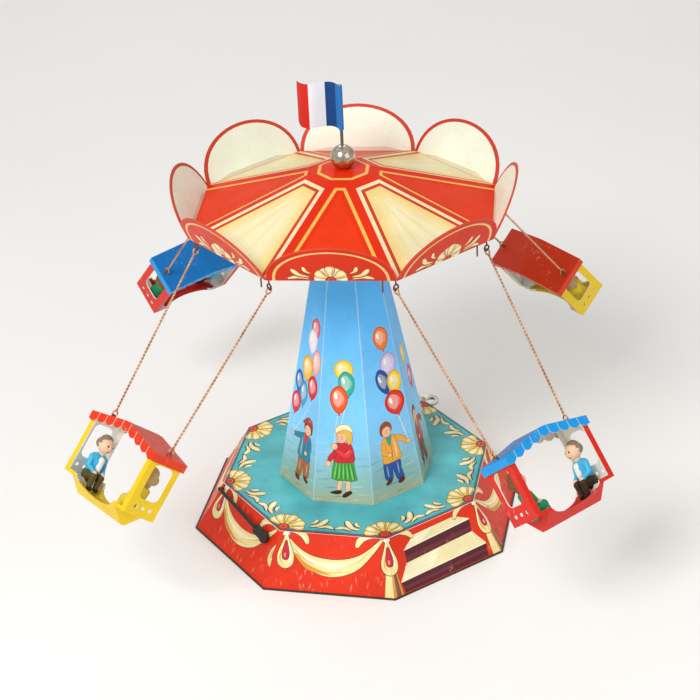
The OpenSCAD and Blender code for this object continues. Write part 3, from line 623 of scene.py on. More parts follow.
def balloon(x, y, rx, ry, tint, turn=0.0):
    """A printed balloon with a darker rim, a glow, a highlight and its knot."""
    dark = blend_of(tint, rgb("401020"), 0.35)
    glow = blend_of(tint, WHITE, 0.35)
    drop = blob((0, ry), (rx * 0.8, ry * 0.62), (rx, 0), (rx * 0.68, -ry * 0.62), (0, -ry),
                (-rx * 0.68, -ry * 0.62), (-rx, 0), (-rx * 0.8, ry * 0.62))
    inner = [(p * 0.86, q * 0.88) for p, q in drop]
    warm = [(p * 0.55 - rx * 0.12, q * 0.6 + ry * 0.08) for p, q in drop]
    knot = [(-0.8, -ry - 1.1), (0.8, -ry - 1.1), (0.2, -ry + 0.5), (-0.2, -ry + 0.5)]
    shapes = [(knot, dark), (drop, dark), (inner, tint), (warm, glow),
              (circle(-rx * 0.34, ry * 0.28, rx * 0.16, ry * 0.26, 0.1, 12), WHITE)]
    shapes += brush(glow, [0.1, 0.6, 0.1], (rx * 0.45, ry * 0.4), (rx * 0.55, 0), (rx * 0.32, -ry * 0.4))
    return put(shapes, x, y, turn)


def balloons(strings, bunch):
    """Strings along their points, then balloons: each x, y, half width, half height, ink and lean."""
    shapes = []
    for points in strings:
        shapes += brush(rgb("dfe8ea"), [0.28, 0.28], *points)
    for x, y, rx, ry, ink, lean in bunch:
        shapes += balloon(x, y, rx, ry, rgb(ink), lean)
    return shapes


def face_art(x, y, r, look=-1):
    """A small plain painted face."""
    x0 = x + look * r * 0.28
    shapes = [(circle(x, y, r * 0.94, r), rgb("b9835e")), (circle(x, y, r * 0.86, r * 0.92), SKIN)]
    for side in (-1, 1):
        cheek = circle(x0 + (0.01 + side * 0.41) * r, y - r * 0.25, r * 0.2, r * 0.16, 0, 10)
        eye = circle(x0 + side * r * 0.3, y + r * 0.12, r * 0.1, r * 0.08, 0, 8)
        shapes += [(cheek, rgb("ee8f78")), (eye, INK_DARK)]
        shapes += brush(BROWN, [0.12, 0.16], (x0 + side * r * 0.42, y + r * 0.32),
                        (x0 + side * r * 0.18, y + r * 0.34))
    return shapes + brush(rgb("c03030"), [0.1, 0.26, 0.1], (x0 - r * 0.16, y - r * 0.42), (x0, y - r * 0.47),
                          (x0 + r * 0.16, y - r * 0.42))


def hand(x, y, rx, ry):
    return lined(circle(x, y, rx, ry), SKIN, BROWN, 0.2)


def girl_art():
    """A girl in a red jumper and green skirt, holding three balloons."""
    green, red, dark_red, hair = rgb("3f9c3c"), rgb("cf2430"), rgb("6a1020"), rgb("e6b64c")
    shapes = balloons((((-2.8, 55), (-4.2, 46), (-5.2, 36.5)), ((2.8, 66), (-0.5, 50), (-4.9, 37))),
                      ((0.9, 82.2, 5.7, 6.7, "f4d23c", 0.0), (2.6, 74.2, 4.8, 7.8, "2fae96", 0.12),
                       (-2.0, 64.2, 5.3, 8.8, "ee5a1e", 0.0)))
    shapes += patch(SKIN, BROWN, 0.2, (-2.6, 14.8), (-0.6, 14.8), (-1.5, 7), (-3.6, 7.2))
    shapes += patch(SKIN, BROWN, 0.2, (2.2, 14.8), (4.4, 14.8), (3.6, 7), (1.8, 7.2))
    shapes += patch(INK_DARK, BROWN, 0.15, (-7.6, 6.0), (-5, 7.2), (-1.4, 7.8), (-1.2, 6.1), (-4, 5.2))
    shapes += patch(INK_DARK, BROWN, 0.15, (-0.4, 4.2), (1.6, 6.6), (4.6, 7.8), (5.2, 6.4), (2.6, 4.2),
                    (0.6, 3.4))
    skirt = [(-5.4, 26.2), (6.4, 26.6), (7.2, 20), (8.6, 15), (5, 13.8), (1, 14.4), (-3, 13.9), (-6.6, 15),
             (-6.2, 20)]
    shapes += lined(skirt, green, rgb("1f5a28"), 0.3)
    for x in (-4.6, -2.2, 0.2, 2.6, 5.2):
        shapes += brush(rgb("86cc6c"), [0.2, 0.8, 0.5], (x * 0.8, 25), (x, 19), (x * 1.15, 15))
        shapes += brush(rgb("26702e"), [0.2, 0.4, 0.3], (x * 0.8 + 1, 25), (x + 1.2, 19),
                        (x * 1.15 + 1.2, 15))
    shapes += patch(red, dark_red, 0.3, (-4.2, 36.6), (0, 37.6), (4.6, 37), (6.2, 33), (6.8, 27), (3, 25.6),
                    (-4.6, 25.8), (-5.6, 31))
    shapes += lined(stroke([(-4.6, 31), (-7.2, 28), (-8.2, 25)], [2.6, 2.6, 1.8]), red, dark_red, 0.25)
    shapes += lined(stroke([(5, 34), (2, 29.6), (-3.6, 33)], [3, 3.2, 2.2]), rgb("dc3a40"), dark_red, 0.25)
    shapes += brush(rgb("f07a70"), [0.3, 0.7, 0.3], (4, 33), (1.6, 30.6))
    shapes += hand(-8.6, 24.2, 1.5, 1.7) + hand(-4.9, 35.2, 1.8, 2.0)
    shapes += patch(hair, rgb("80501c"), 0.25, (-3.8, 44), (-2, 47), (2, 47.2), (5.2, 44), (5.4, 38.6),
                    (3.2, 37), (2, 40), (-2.6, 42))
    shapes += face_art(-0.8, 40.9, 3.5)
    shapes.append((blob((-3.2, 43.2), (0.4, 44.6), (2.6, 42.2), (2.4, 40), (1.2, 43)), hair))
    shapes += patch(rgb("f2e6ae"), rgb("8a6a30"), 0.25, (-4.2, 43.6), (-3.4, 47.2), (0.4, 49.2), (4.4, 48),
                    (5.8, 44.6), (3.4, 45.6), (-0.6, 45.6))
    return shapes + brush(PALE_CREAM, [0.2, 0.8, 0.2], (-2.6, 46.6), (0.6, 47.8), (3.8, 46.8))


def boy_art(coat, scarf, trousers, hair, cap=None, arm=(12.0, 30.6)):
    """A boy with one arm held out to his balloons."""
    dark, shoe = blend_of(coat, rgb("301810"), 0.6), rgb("6a2018")
    shapes = patch(trousers, shade(trousers, 0.7), 0.25, (-6.8, 22.6), (-1.4, 22), (-1.6, 17), (-2.2, 11.4),
                   (-6.6, 11.8), (-7.4, 16))
    shapes += patch(trousers, shade(trousers, 0.7), 0.25, (-1.4, 22), (4.2, 21.6), (4.4, 16), (5.6, 9.8),
                    (1.4, 9.6), (-0.6, 15))
    for x in (-5.2, 2.2):
        shapes += brush(blend_of(trousers, WHITE, 0.35), [0.3, 1.0, 0.4], (x, 20.5), (x + 0.4, 13))
    shapes += patch(shoe, INK_DARK, 0.2, (-7.2, 9.4), (-4.4, 11.6), (-2.4, 11), (-4, 9), (-6.4, 8.4))
    shapes += patch(shoe, INK_DARK, 0.2, (1.2, 7.8), (3, 9.8), (5.6, 9.6), (5.2, 7.6), (2.6, 6.8))
    sleeve = stroke([(2.0, 36), (6.6, 34.6), (arm[0] - 1.2, arm[1])], [3.4, 3.2, 2.2])
    shapes += lined(sleeve, coat, dark, 0.28) + hand(*arm, 1.5, 1.4)
    shapes += patch(coat, dark, 0.3, (-6.2, 36.2), (-3, 38), (1.6, 38.2), (3.8, 34), (5, 27), (5.4, 22.6),
                    (-1, 21.6), (-7.2, 22.6), (-6.4, 29))
    shapes += brush(dark, [0.3, 0.5, 0.3], (-0.6, 35), (-0.2, 28), (-0.6, 22.8))
    shapes += brush(blend_of(coat, WHITE, 0.4), [0.3, 1.4, 0.4], (1.8, 35.4), (2.6, 28), (2.4, 23.6))
    shapes += lined(stroke([(-5.4, 34.4), (-5.8, 29), (-2.6, 26.4)], [3.0, 3.0, 1.8]), coat, dark, 0.25)
    shapes += hand(-2.2, 26.2, 1.4, 1.3)
    shapes += lined([(-3.4, 38.2), (0.8, 38.4), (-0.4, 33), (-1.6, 31.6)], scarf, shade(scarf, 0.5), 0.2)
    shapes += patch(hair, shade(hair), 0.25, (-6.6, 42.4), (-5.4, 46), (-2, 47.4), (1, 45.4), (1.4, 41.6),
                    (-1, 39), (-5.4, 39.4))
    shapes += face_art(-2.2, 41.2, 3.4, 1)
    shapes += patch(hair, shade(hair), 0.12, (-5.8, 43), (-4.6, 46), (-1.6, 47), (0.8, 45.2), (-1.6, 44.6),
                    (-3.8, 43.8))
    if cap:
        shapes += patch(cap, shade(cap), 0.25, (-6.6, 44.2), (-5.4, 48), (-1.6, 49.2), (1.6, 46.6),
                        (3.4, 44.4), (0, 44.8), (-3.4, 45))
        shapes += brush(blend_of(cap, WHITE, 0.4), [0.2, 0.8, 0.2], (-4.6, 47), (-1.8, 47.8))
    return shapes


def scarf_boy_art():
    """The boy in the orange coat, with five balloons."""
    shapes = balloons((((7.2, 49), (9.4, 40), (12, 31.4)), ((4.4, 64), (8.4, 46), (12, 31.4))),
                      ((2.9, 97.8, 5.1, 7.5, "f07a2c", 0.1), (5.2, 81, 5.5, 7.8, "cbb8e0", -0.1),
                       (0.4, 71.6, 4.4, 8.4, "16509c", 0.25), (8.0, 69.4, 5.0, 7.6, "f0cc30", 0.0),
                       (6.4, 57, 6.8, 8.0, "e0301e", 0.2)))
    return shapes + boy_art(rgb("f0a83c"), rgb("3aa08c"), rgb("2456a4"), rgb("9a4a24"))


def cap_boy_art():
    """The boy in the blue coat and red cap, with eight balloons."""
    shapes = balloons((((-9.2, 45), (-9.4, 38), (-9.2, 33)), ((6.2, 60), (-2, 44), (-9, 33.4))),
                      ((2.6, 103, 4.4, 7.0, "e05a70", 0.0), (1.0, 95, 4.6, 8.0, "e6e0f0", 0.05),
                       (6.6, 83.4, 4.2, 8.4, "eeb0a8", 0.0), (-1.4, 77.2, 5.2, 8.2, "f0bc34", 0.0),
                       (-8.0, 66, 4.0, 7.6, "1c66b0", 0.1), (-2.8, 60.4, 3.9, 8.0, "3aa0c8", 0.0),
                       (5.4, 67.4, 4.9, 7.6, "da1f24", 0.0), (-9.2, 52.4, 4.6, 7.4, "d8284c", -0.1)))
    boy = boy_art(rgb("1c84a0"), rgb("d42c2c"), rgb("a8682c"), rgb("5a3018"), rgb("b02a2c"), (12.6, 33.4))
    return shapes + put(boy, 3.2, -1.2, flip=True)


def brown_boy_art():
    """The boy in the brown-red coat, with two balloons."""
    shapes = balloons((((1.6, 70), (5, 46), (10.8, 33)), ((7, 52), (9, 42), (10.8, 33))),
                      ((1.6, 78, 4.6, 7.6, "e2c23c", 0.0), (6.6, 60.5, 4.6, 7.6, "d8486c", 0.0)))
    return shapes + put(boy_art(rgb("a8442c"), rgb("d8a040"), rgb("7c3a20"), rgb("6a3a1c")), -0.8, -2.0)


CHILDREN = (girl_art, scarf_boy_art, brown_boy_art, girl_art, scarf_boy_art, brown_boy_art, girl_art,
            cap_boy_art)


def column_art(k, half_low, half_high, height):
    """Sky over open ground on a column facet, with a child and their balloons."""
    shapes = []

    def sky(x, y):
        ground = blend_of(GROUND_CREAM, GROUND_GREEN, y / 9)
        air = blend_of(SKY_LIGHT, SKY, (y - 34) / 90)
        lift = 3.0 * math.sin(x * 0.35 + k * 1.7)
        return blend_of(ground, air, (y - 12 + lift) / 26)

    rows, cols = 40, 6
    for i in range(rows):
        y0, y1 = height * (i / rows) ** 1.5, height * ((i + 1) / rows) ** 1.5
        for j in range(cols):
            x0, x1 = (-1 + 2 * j / cols) * half_low, (-1 + 2 * (j + 1) / cols) * half_low
            shapes.append(([(x0, y0), (x1, y0), (x1, y1), (x0, y1)], sky))
    for i in range(34):
        y = 1.5 + 1.05 * i + 1.5 * math.sin(i * 2.4 + k)
        x = -15 + (i * 11.3 + k * 5) % 30
        reach = 3.5 + 2.5 * abs(math.sin(i * 3.1))
        tint = blend_of(sky(x, y), (WHITE, TEAL_DARK, PALE_CREAM, GROUND_GREEN, OCHRE)[i % 5],
                        0.34 - 0.006 * i)
        shapes += brush(tint, [0.1, 0.5 + 0.5 * abs(math.sin(i * 1.3)), 0.1],
                        (x - reach, y - 0.4), (x, y + 0.2 * math.sin(i)), (x + reach, y + 0.5))
    shapes += CHILDREN[k]()
    # A pale strip down each side of the facet is a painted highlight on the fold between facets.
    fold_highlight_width = 0.32
    for s in (-1, 1):
        edge = [(s * half_low, 0), (s * half_high, height), (s * (half_high - fold_highlight_width), height),
                (s * (half_low - fold_highlight_width), 0)]
        shapes.append((edge, rgb("b8d8e4")))
    return shapes


def sector_shape(half_low, half_high, height, inset, top, bottom=-1.0):
    """The canopy sector's outline drawn in from its sloping sides by inset and from its top."""
    slope = (half_low - half_high) / height
    side = inset * math.hypot(1, slope)

    def half(v):
        return half_low - slope * v - side
    v1 = height - top
    return [(-half(bottom), bottom), (half(bottom), bottom), (half(v1), v1), (-half(v1), v1)]


def canopy_art(k, half_low, half_high, height):
    """Print of canopy sector k: red ones with a gold line, cream ones with a cream band and a red line."""
    def shape(inset, top):
        return sector_shape(half_low, half_high, height, inset, top)
    if k % 2 == 0:
        return [(shape(4.8, 5.4), rgb("c9801f")), (shape(5.0, 5.6), GOLD_LINE),
                (shape(6.8, 7.4), rgb("b82c12")),
                (shape(7.0, 7.6), rgb("e0300a")), (shape(9.5, 10.5), rgb("e4380e"))]
    shapes = [(shape(0.0, 6.0), rgb("f3d9a0")), (shape(0.0, 6.0), rgb("f0dcb0")),
              (shape(2.5, 8.5), rgb("a83a18")),
              (shape(2.75, 8.75), rgb("cf4020")), (shape(4.2, 10.2), rgb("a83a18"))]
    for i, tone in enumerate(("f3cf84", "f3d48e", "f2d998", "f1dda4", "f0e0ae", "efe3b8")):
        shapes.append((shape(4.5 + 1.2 * i ** 1.3, 10.5 + 2.2 * i ** 1.3), rgb(tone)))
    for i in range(7):
        x, lean = -0.78 + 0.26 * i, 0.5 + 0.5 * math.sin(i * 5.1 + k)
        foot = (x * half_low * 0.78, 3.0 + 5 * lean)
        head = (x * half_high * 0.9, height * (0.6 + 0.12 * lean))
        mid = ((foot[0] + head[0]) / 2, (foot[1] + head[1]) / 2)
        shapes.append((stroke([foot, mid, head], [0.2, 1.6 + 1.4 * lean, 0.2]),
                       rgb("f3e6bb" if i % 2 else "efdca6")))
    return shapes


def lobe_outline(half, height, size=1.0, steps=24):
    """The rounded edge of a lobe above its fold."""
    return [(half * size * math.cos(math.pi * i / steps),
             height * size * max(0.0, math.sin(math.pi * i / steps)) ** 0.9) for i in range(steps + 1)]


def lobe_art_outside(half, height):
    """Gold arc, half a daisy and scrolled leaves on the outer side of a lobe. The lighter red ground left
    outside its first outline is a painted highlight along the lobe's edge.
    """
    line = rgb("9c3a14")
    shapes = [(lobe_outline(half, height, 0.985), rgb("d42c0e")), (lobe_outline(half, height, 0.905), line),
              (lobe_outline(half, height, 0.9), rgb("f4c47a")), (lobe_outline(half, height, 0.855), line),
              (lobe_outline(half, height, 0.85), LOBE_RED)]
    for flip in (False, True):
        row = comma([(11.4, 1.6), (17.4, 3.4), (22.6, 2.0)], [0.3, 1.9, 2.6, 0.9], line=line)
        row += comma([(11.2, 3.6), (16.6, 5.4), (20.2, 10.4)], [0.3, 1.5, 2.2, 3.0, 1.2], line=line)
        row += comma([(10.4, 6.6), (13.0, 8.6), (14.0, 12.2)], [0.3, 1.3, 2.2, 1.0], line=line)
        shapes += put(row, flip=flip)
    return shapes + put(daisy(9.4, 7, 1.45, 2.6, CREAM, line, 1.28), 0, 0.8)


def lobe_art_inside(half, height):
    """Cream with a red edge; a darker band along the fold is painted shade."""
    shapes = [(lobe_outline(half, height, 0.94), rgb("c8604c")),
              (lobe_outline(half, height, 0.93), LOBE_CREAM)]
    # The darker band ddd3b8 along the fold is painted shade in the crease.
    shapes.append(([(-half * 0.8, 0), (half * 0.8, 0), (half * 0.5, 2.6), (-half * 0.5, 2.2)], rgb("ddd3b8")))
    return shapes


# ---- materials of the object ----

PRINTED = litho("printed_tin")
PRINTED_BASE = litho("printed_base", 0.12, scuff=0.55, scuff_ink=rgb("eeb09a"))
PRINTED_DECK = litho("printed_deck", 0.26, 1400.0, coat=0.08)
PRINTED_CANOPY = litho("printed_canopy", 0.07, coat=0.06, rough=0.4, sheen=0.2)
PAINTED_CAR = litho("painted_car", 0.06, coat=0.15, scuff=0.3, scuff_ink=IVORY)
PAINTED_RIDER = litho("painted_rider", 0.08, 2000.0, coat=0.15, rough=0.42)
BRASS = metal("brass", rgb("d9b25c"), rgb("8a6428"), 0.3)
STEEL = metal("steel", rgb("b9bcc0"), rgb("6e6f72"), 0.34)
SPRING_STEEL = metal("spring_steel", rgb("44546e"), rgb("232a38"), 0.3)
CHROME = metal("chrome", rgb("e6ddcf"), rgb("a08c78"), 0.16, 200.0)
NICKEL = metal("nickel", rgb("d2cfc6"), rgb("8f897d"), 0.26)
COPPER_WIRE = metal("copper_wire", rgb("f0c49c"), rgb("b67c54"), 0.4, 900.0)
HOOK_WIRE = metal("hook_wire", rgb("8a6248"), rgb("3c281e"), 0.4, 900.0)
BLACKENED = paint("blackened", rgb("1b1713"), rgb("3a3128"), 0.36)
BASE_METAL = paint("base_metal", rgb("3d3420"), rgb("1a1610"), 0.5)
POLE_GREY = metal("pole_grey", rgb("8d8f94"), rgb("55565c"), 0.36)


# ---- base, deck and column ----

def drilled(corners, centre, axis, radius, depth):
    """A round hole along axis through a wall of some depth: its loops on the outer and the inner face."""
    across = (corners[1] - corners[0]).normalized()
    normal = across.cross(corners[2] - corners[1]).normalized()
    side = axis.cross(Vector((0, 0, 1))).normalized()
    up = side.cross(axis)
    loops = []
    for level in (0.0, depth):
        on_face = corners[0] - normal * level
        around = [centre + side * (radius * c) + up * (radius * s) for c, s in arc(20)]
        loops.append([p + axis * ((on_face - p).dot(normal) / axis.dot(normal)) for p in around])
    return loops


def shell(tin, outer, inner, ground, lining, art, bores=()):
    """Eight printed facets between two octagons, lined inside. bores gives a facet's holes."""
    for k in range(SIDES):
        holes_out, holes_in = [], []
        if k in bores:
            holes_out, holes_in = zip(bores[k])
            tin.band(holes_in[0], holes_out[0], IVORY)
        tin.panel(facet(*outer, k), ground, art(k), holes=holes_out)
        tin.panel(facet(*inner, k)[::-1], lining, holes=holes_in)


def tapered(r_low, z_low, r_high, z_high):
    """The lower and upper octagons of a tapered eight-sided shell of tin, outside and inside."""
    outer = octagon(r_low, z_low), octagon(r_high, z_high)
    inner = octagon(shifted_in(r_low, TIN), z_low), octagon(shifted_in(r_high, TIN), z_high)
    return outer, inner


def base_walls():
    tin = Tin()
    ends = WALL_R_LOW, WALL_LOW, WALL_R_HIGH, WALL_HIGH
    outer, inner = tapered(*ends)
    half_low, half_high, slant = facet_size(*ends)
    depth = TIN * (WALL_HIGH - WALL_LOW) / (slant * MM)
    bores = {}
    for k, joint, radius in ((7, "stop_lever_swing", LEVER_BORE_R), (4, "winding_key_turn", KEY_BORE_R)):
        centre, axis = Vector(JOINTS[joint]["pos_m"]), Vector(JOINTS[joint]["axis"]).normalized()
        bores[k] = drilled(facet(*outer, k), centre, axis, radius, depth)
    shell(tin, outer, inner, BASE_RED, WALL_LINING, lambda k: base_wall_art(k, half_high, half_low, slant),
          bores)
    tin.band(inner[0], outer[0], BASE_RED)
    tin.band(outer[1], inner[1], IVORY)
    tin.finish("base_walls_printed", "base", PRINTED_BASE, "base_walls")


def deck():
    tin = Tin()
    above, below = octagon(DECK_R, BASE_TOP), octagon(DECK_R, BASE_TOP - TIN)
    hole, hole_low = octagon(DECK_HOLE_R, BASE_TOP), octagon(DECK_HOLE_R, BASE_TOP - TIN)
    middle = Vector((0, 0, BASE_TOP))
    flat = (middle, Vector((1, 0, 0)), Vector((0, 1, 0)))
    under = (middle - Vector((0, 0, TIN)), Vector((-1, 0, 0)), Vector((0, 1, 0)))
    rim = [(p.x / MM, p.y / MM) for p in octagon(DECK_R, 0)]
    lawn = [(x * 0.982, y * 0.982) for x, y in rim]
    ground = [(rim, DECK_EDGE), (lawn, TURQUOISE)]
    tin.panel(above, rgb("2a7076"), ground + deck_art(DECK_R / MM), flat, [hole])
    tin.panel(below[::-1], rgb("8f8a78"), (), under, [hole_low])
    tin.band(below, above, DEEP_RED)
    tin.band(hole, hole_low, rgb("8f8a78"))
    tin.finish("deck_printed", "base", PRINTED_DECK, "deck")


def column():
    tin = Tin()
    ends = COLUMN_R_LOW, BASE_TOP, COLUMN_R_HIGH, COLUMN_TOP
    outer, inner = tapered(*ends)
    shell(tin, outer, inner, SKY, COLUMN_LINING, lambda k: column_art(k, *facet_size(*ends)))
    tin.band(inner[0], outer[0], SKY_LIGHT)
    tin.band(outer[1], inner[1], SKY)
    tin.finish("column_printed", "base", PRINTED, "column")


# ---- canopy, lobes and flag ----

def canopy():
    tin = Tin()
    rim, ring, crown, hole, rim_in, ring_in, crown_in, hole_in = (octagon(r, z, ROTOR_TURN) for r, z in (
        (RIM_R, RIM_Z), (RING_R, RING_Z), (CROWN_R, TOP_Z), (SHAFT_R, TOP_Z),
        (RIM_R_INNER, RIM_Z), (RING_R, RING_Z_INNER), (CROWN_R, CROWN_Z_INNER), (SHAFT_R, CROWN_Z_INNER)))
    sector = facet_size(RIM_R, RIM_Z, RING_R, RING_Z)
    crown_facet = facet_size(RING_R, RING_Z, CROWN_R, TOP_Z)
    dark_line = rgb("b4401a")
    lines = [(sector_shape(*crown_facet, 0.0, 0.0, low), ink)
             for low, ink in ((0.5, dark_line), (0.7, GOLD_LINE), (2.5, dark_line), (2.7, RED))]
    shell(tin, (rim, ring), (rim_in, ring_in), RED, CANOPY_LINING, lambda k: canopy_art(k, *sector))
    shell(tin, (ring, crown), (ring_in, crown_in), RED, CANOPY_LINING, lambda k: lines)
    for low, high in ((rim_in, rim), (crown, hole), (hole_in, crown_in), (hole, hole_in)):
        tin.band(low, high, RED)
    tin.finish("canopy_printed", "rotor", PRINTED_CANOPY, "canopy")


def lobes():
    tin = Tin()
    rim = octagon(RIM_R, RIM_Z, ROTOR_TURN)
    half, slant = RIM_R * SIN_HALF / MM, math.hypot(LOBE_LEAN, LOBE_RISE) / MM
    for k in range(SIDES):
        a, b = rim[k], rim[(k + 1) % SIDES]
        across = (b - a).normalized()
        up = (across.cross(Vector((0, 0, 1))) * LOBE_LEAN + Vector((0, 0, LOBE_RISE))).normalized()
        foot, out = (a + b) / 2, across.cross(up) * (THIN / 2)
        front = [foot + across * (x * MM) + up * (y * MM) + out for x, y in lobe_outline(half, slant)]
        back = [p - out * 2 for p in front]
        # The ground e2482c shows only as a thin strip along the lobe's rounded edge: a painted highlight.
        tin.panel(front, rgb("e2482c"), lobe_art_outside(half, slant), (foot + out, across, up))
        tin.panel(back[::-1], rgb("c9432c"), lobe_art_inside(half, slant), (foot - out, -across, up))
        tin.band(back, front, rgb("cf4a34"))
    tin.finish("lobes_printed", "rotor", PRINTED_CANOPY, "canopy_lobes")


def flag():
    """Three stripes on a waved sheet, its sleeve clinched round the pole; the blue stripe is a lighter blue
    by the sleeve and a darker blue beyond, as painted light and shade.
    """
    tin = Tin()
    low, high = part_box("flag")[0].z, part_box("flag")[1].z
    heading = math.radians(FLAG_HEADING)
    along = Vector((math.cos(heading), math.sin(heading), 0))
    side = Vector((-along.y, along.x, 0))
    # The first two bands are one blue stripe in a lighter and a darker tone, painted light and shade; the
    # sleeve takes the lighter blue.
    stripes_and_shade = ((0.1, rgb("2a74bc")), (0.36, rgb("1c4684")), (0.68, rgb("e9ecf2")), (1.01, rgb("cf2a1c")))
    steps = 40

    def corner(u, face, top):
        wave = face * FLAG_THICK / 2 - FLAG_WAVE * math.sin(2 * math.pi * u)
        droop = 2.2 * MM * max(0.0, (u - 0.9) / 0.1) ** 2
        return along * (POLE_R + u * FLAG_LENGTH) + side * wave + Vector((0, 0, high if top else low + droop))

    def quad(ink, *corners):
        tin.face([corner(*c) for c in corners], ink)

    cuts = sorted({i / steps for i in range(steps + 1)} | {limit for limit, _ in stripes_and_shade if limit < 1})
    for u, w in zip(cuts, cuts[1:]):
        ink = next(ink for limit, ink in stripes_and_shade if (u + w) / 2 < limit)
        quad(ink, (u, 1, True), (w, 1, True), (w, 1, False), (u, 1, False))
        quad(ink, (u, -1, False), (w, -1, False), (w, -1, True), (u, -1, True))
        quad(ink, (u, -1, False), (w, -1, False), (w, 1, False), (u, 1, False))
        quad(ink, (u, 1, True), (w, 1, True), (w, -1, True), (u, -1, True))
    quad(stripes_and_shade[0][1], (0, 1, False), (0, -1, False), (0, -1, True), (0, 1, True))
    quad(stripes_and_shade[-1][1], (1, 1, True), (1, -1, True), (1, -1, False), (1, 1, False))
    loops = [[Vector((r * c, r * s, z)) for c, s in arc(24)]
             for r, z in ((POLE_R, low), (SLEEVE_R, low), (SLEEVE_R, high), (POLE_R, high))]
    for i in range(4):
        tin.band(loops[i], loops[(i + 1) % 4], stripes_and_shade[0][1])
    tin.finish("flag_printed", "rotor", PRINTED_CANOPY, "flag")


# ---- wires ----

def skin(bm, rings, closed=False):
    """Faces between rings of new corners; a ring of one point ends in a tip."""
    made = [[bm.verts.new(p) for p in ring] for ring in rings]
    pairs = list(zip(made, made[1:] + made[:1] if closed else made[1:]))
    for low, high in pairs:
        n = max(len(low), len(high))
        for s in range(n):
            t = (s + 1) % n
            corners = [low[s % len(low)], low[t % len(low)], high[t % len(high)], high[s % len(high)]]
            bm.faces.new(list(dict.fromkeys(corners)))
    return made


def tube(bm, path, radius, sides=8, closed=False):
    """A round wire swept along the points."""
    n = len(path)
    rings = []
    normal = None
    for i, p in enumerate(path):
        a = path[(i - 1) % n] if closed or i else p
        b = path[(i + 1) % n] if closed or i < n - 1 else p
        t = (b - a).normalized()
        if normal is None:
            normal = t.cross(Vector((0.31, 0.52, 0.79))).normalized()
        normal = (normal - t * normal.dot(t)).normalized()
        other = t.cross(normal)
        rings.append([p + (normal * c + other * s) * radius for c, s in arc(sides)])
    made = skin(bm, rings, closed)
    if not closed:
        bm.faces.new(made[0][::-1])
        bm.faces.new(made[-1])


def hanger_frame(k):
    """The hanger's own axes, X along its hooks and -Z down the wires, and its two joints."""
    top, low = Vector(JOINTS[f"hanger_{k}_swing"]["pos_m"]), Vector(JOINTS[f"car_{k}_rock"]["pos_m"])
    x = Vector(JOINTS[f"hanger_{k}_swing"]["axis"])
    z = (top - low).normalized()
    return Matrix((x, z.cross(x), z)).transposed(), top, low


def hanger(k):
    """Two pairs of twisted wires, a closed ring at each end of a pair."""
    turn, top, low = hanger_frame(k)
    drop = (top - low).length
    bm = bmesh.new()
    for s in (-1, 1):
        start = Vector((s * HOOK_X, 0, -LINK_OFF))
        end = Vector((s * EYE_X, 0, -drop + LINK_OFF))
        for centre in (start, end):
            ring = [top + turn @ (centre + Vector((0, LINK_R * c, LINK_R * q))) for c, q in arc(28)]
            tube(bm, ring, RING_WIRE_R, 8, True)
        along = (end - start).normalized()
        first = start + along * (LINK_R + RING_WIRE_R * 0.4)
        length = (end - start).length - 2 * (LINK_R + RING_WIRE_R * 0.4)
        across = along.cross(Vector((0, 1, 0))).normalized()
        other = along.cross(across)
        turns = round(length / TWIST_PITCH)
        n = turns * 12
        for strand in (0, math.pi):
            path = []
            for i in range(n + 1):
                a = strand + 2 * math.pi * turns * i / n
                off = (across * math.cos(a) + other * math.sin(a)) * STRAND_R
                path.append(top + turn @ (first + along * (length * i / n) + off))
            tube(bm, path, STRAND_R, 7)
    made_object(mesh_of(bm, f"hanger_wires_{k}"), f"hanger_{k}_body", COPPER_WIRE, f"hanger_{k}")


# ---- cars ----

def car_frame(k):
    """The car's own axes from its rings: X along the car, Y outward, Z up the wires."""
    turn, _, low = hanger_frame(k)
    return Matrix.Translation(low) @ turn.to_4x4()


def recoloured(node, name, k, tone, cuts=()):
    """A copy of one of car k's nodes, cleaned to flat faces and cut by planes across the car, each face
    in the ink that tone(centre, normal) gives for the car's own axes."""
    bm = bmesh.new()
    bm.from_mesh(NODES[node].data)
    bmesh.ops.remove_doubles(bm, verts=bm.verts, dist=1e-6)
    bmesh.ops.transform(bm, matrix=car_frame(k).inverted(), verts=bm.verts)
    bmesh.ops.dissolve_limit(bm, angle_limit=math.radians(1.0), verts=bm.verts, edges=bm.edges)
    for x in cuts:
        whole = bm.verts[:] + bm.edges[:] + bm.faces[:]
        bmesh.ops.bisect_plane(bm, geom=whole, plane_co=(x, 0, 0), plane_no=(1, 0, 0), dist=1e-7)
    bmesh.ops.recalc_face_normals(bm, faces=bm.faces)
    ink = bm.loops.layers.float_color.new("ink")
    for f in bm.faces:
        colour = tone(f.calc_center_median(), f.normal)
        for loop in f.loops:
            loop[ink] = colour
    bmesh.ops.triangulate(bm, faces=bm.faces)
    bmesh.ops.transform(bm, matrix=car_frame(k), verts=bm.verts)
    made_object(mesh_of(bm, name), f"car_{k}", PAINTED_CAR, node, False)


def half_length(node, k, axis=0):
    """How far a node of car k reaches along one of the car's own axes."""
    to_car = car_frame(k).inverted()
    return max((to_car @ p.co)[axis] for p in NODES[node].data.vertices)


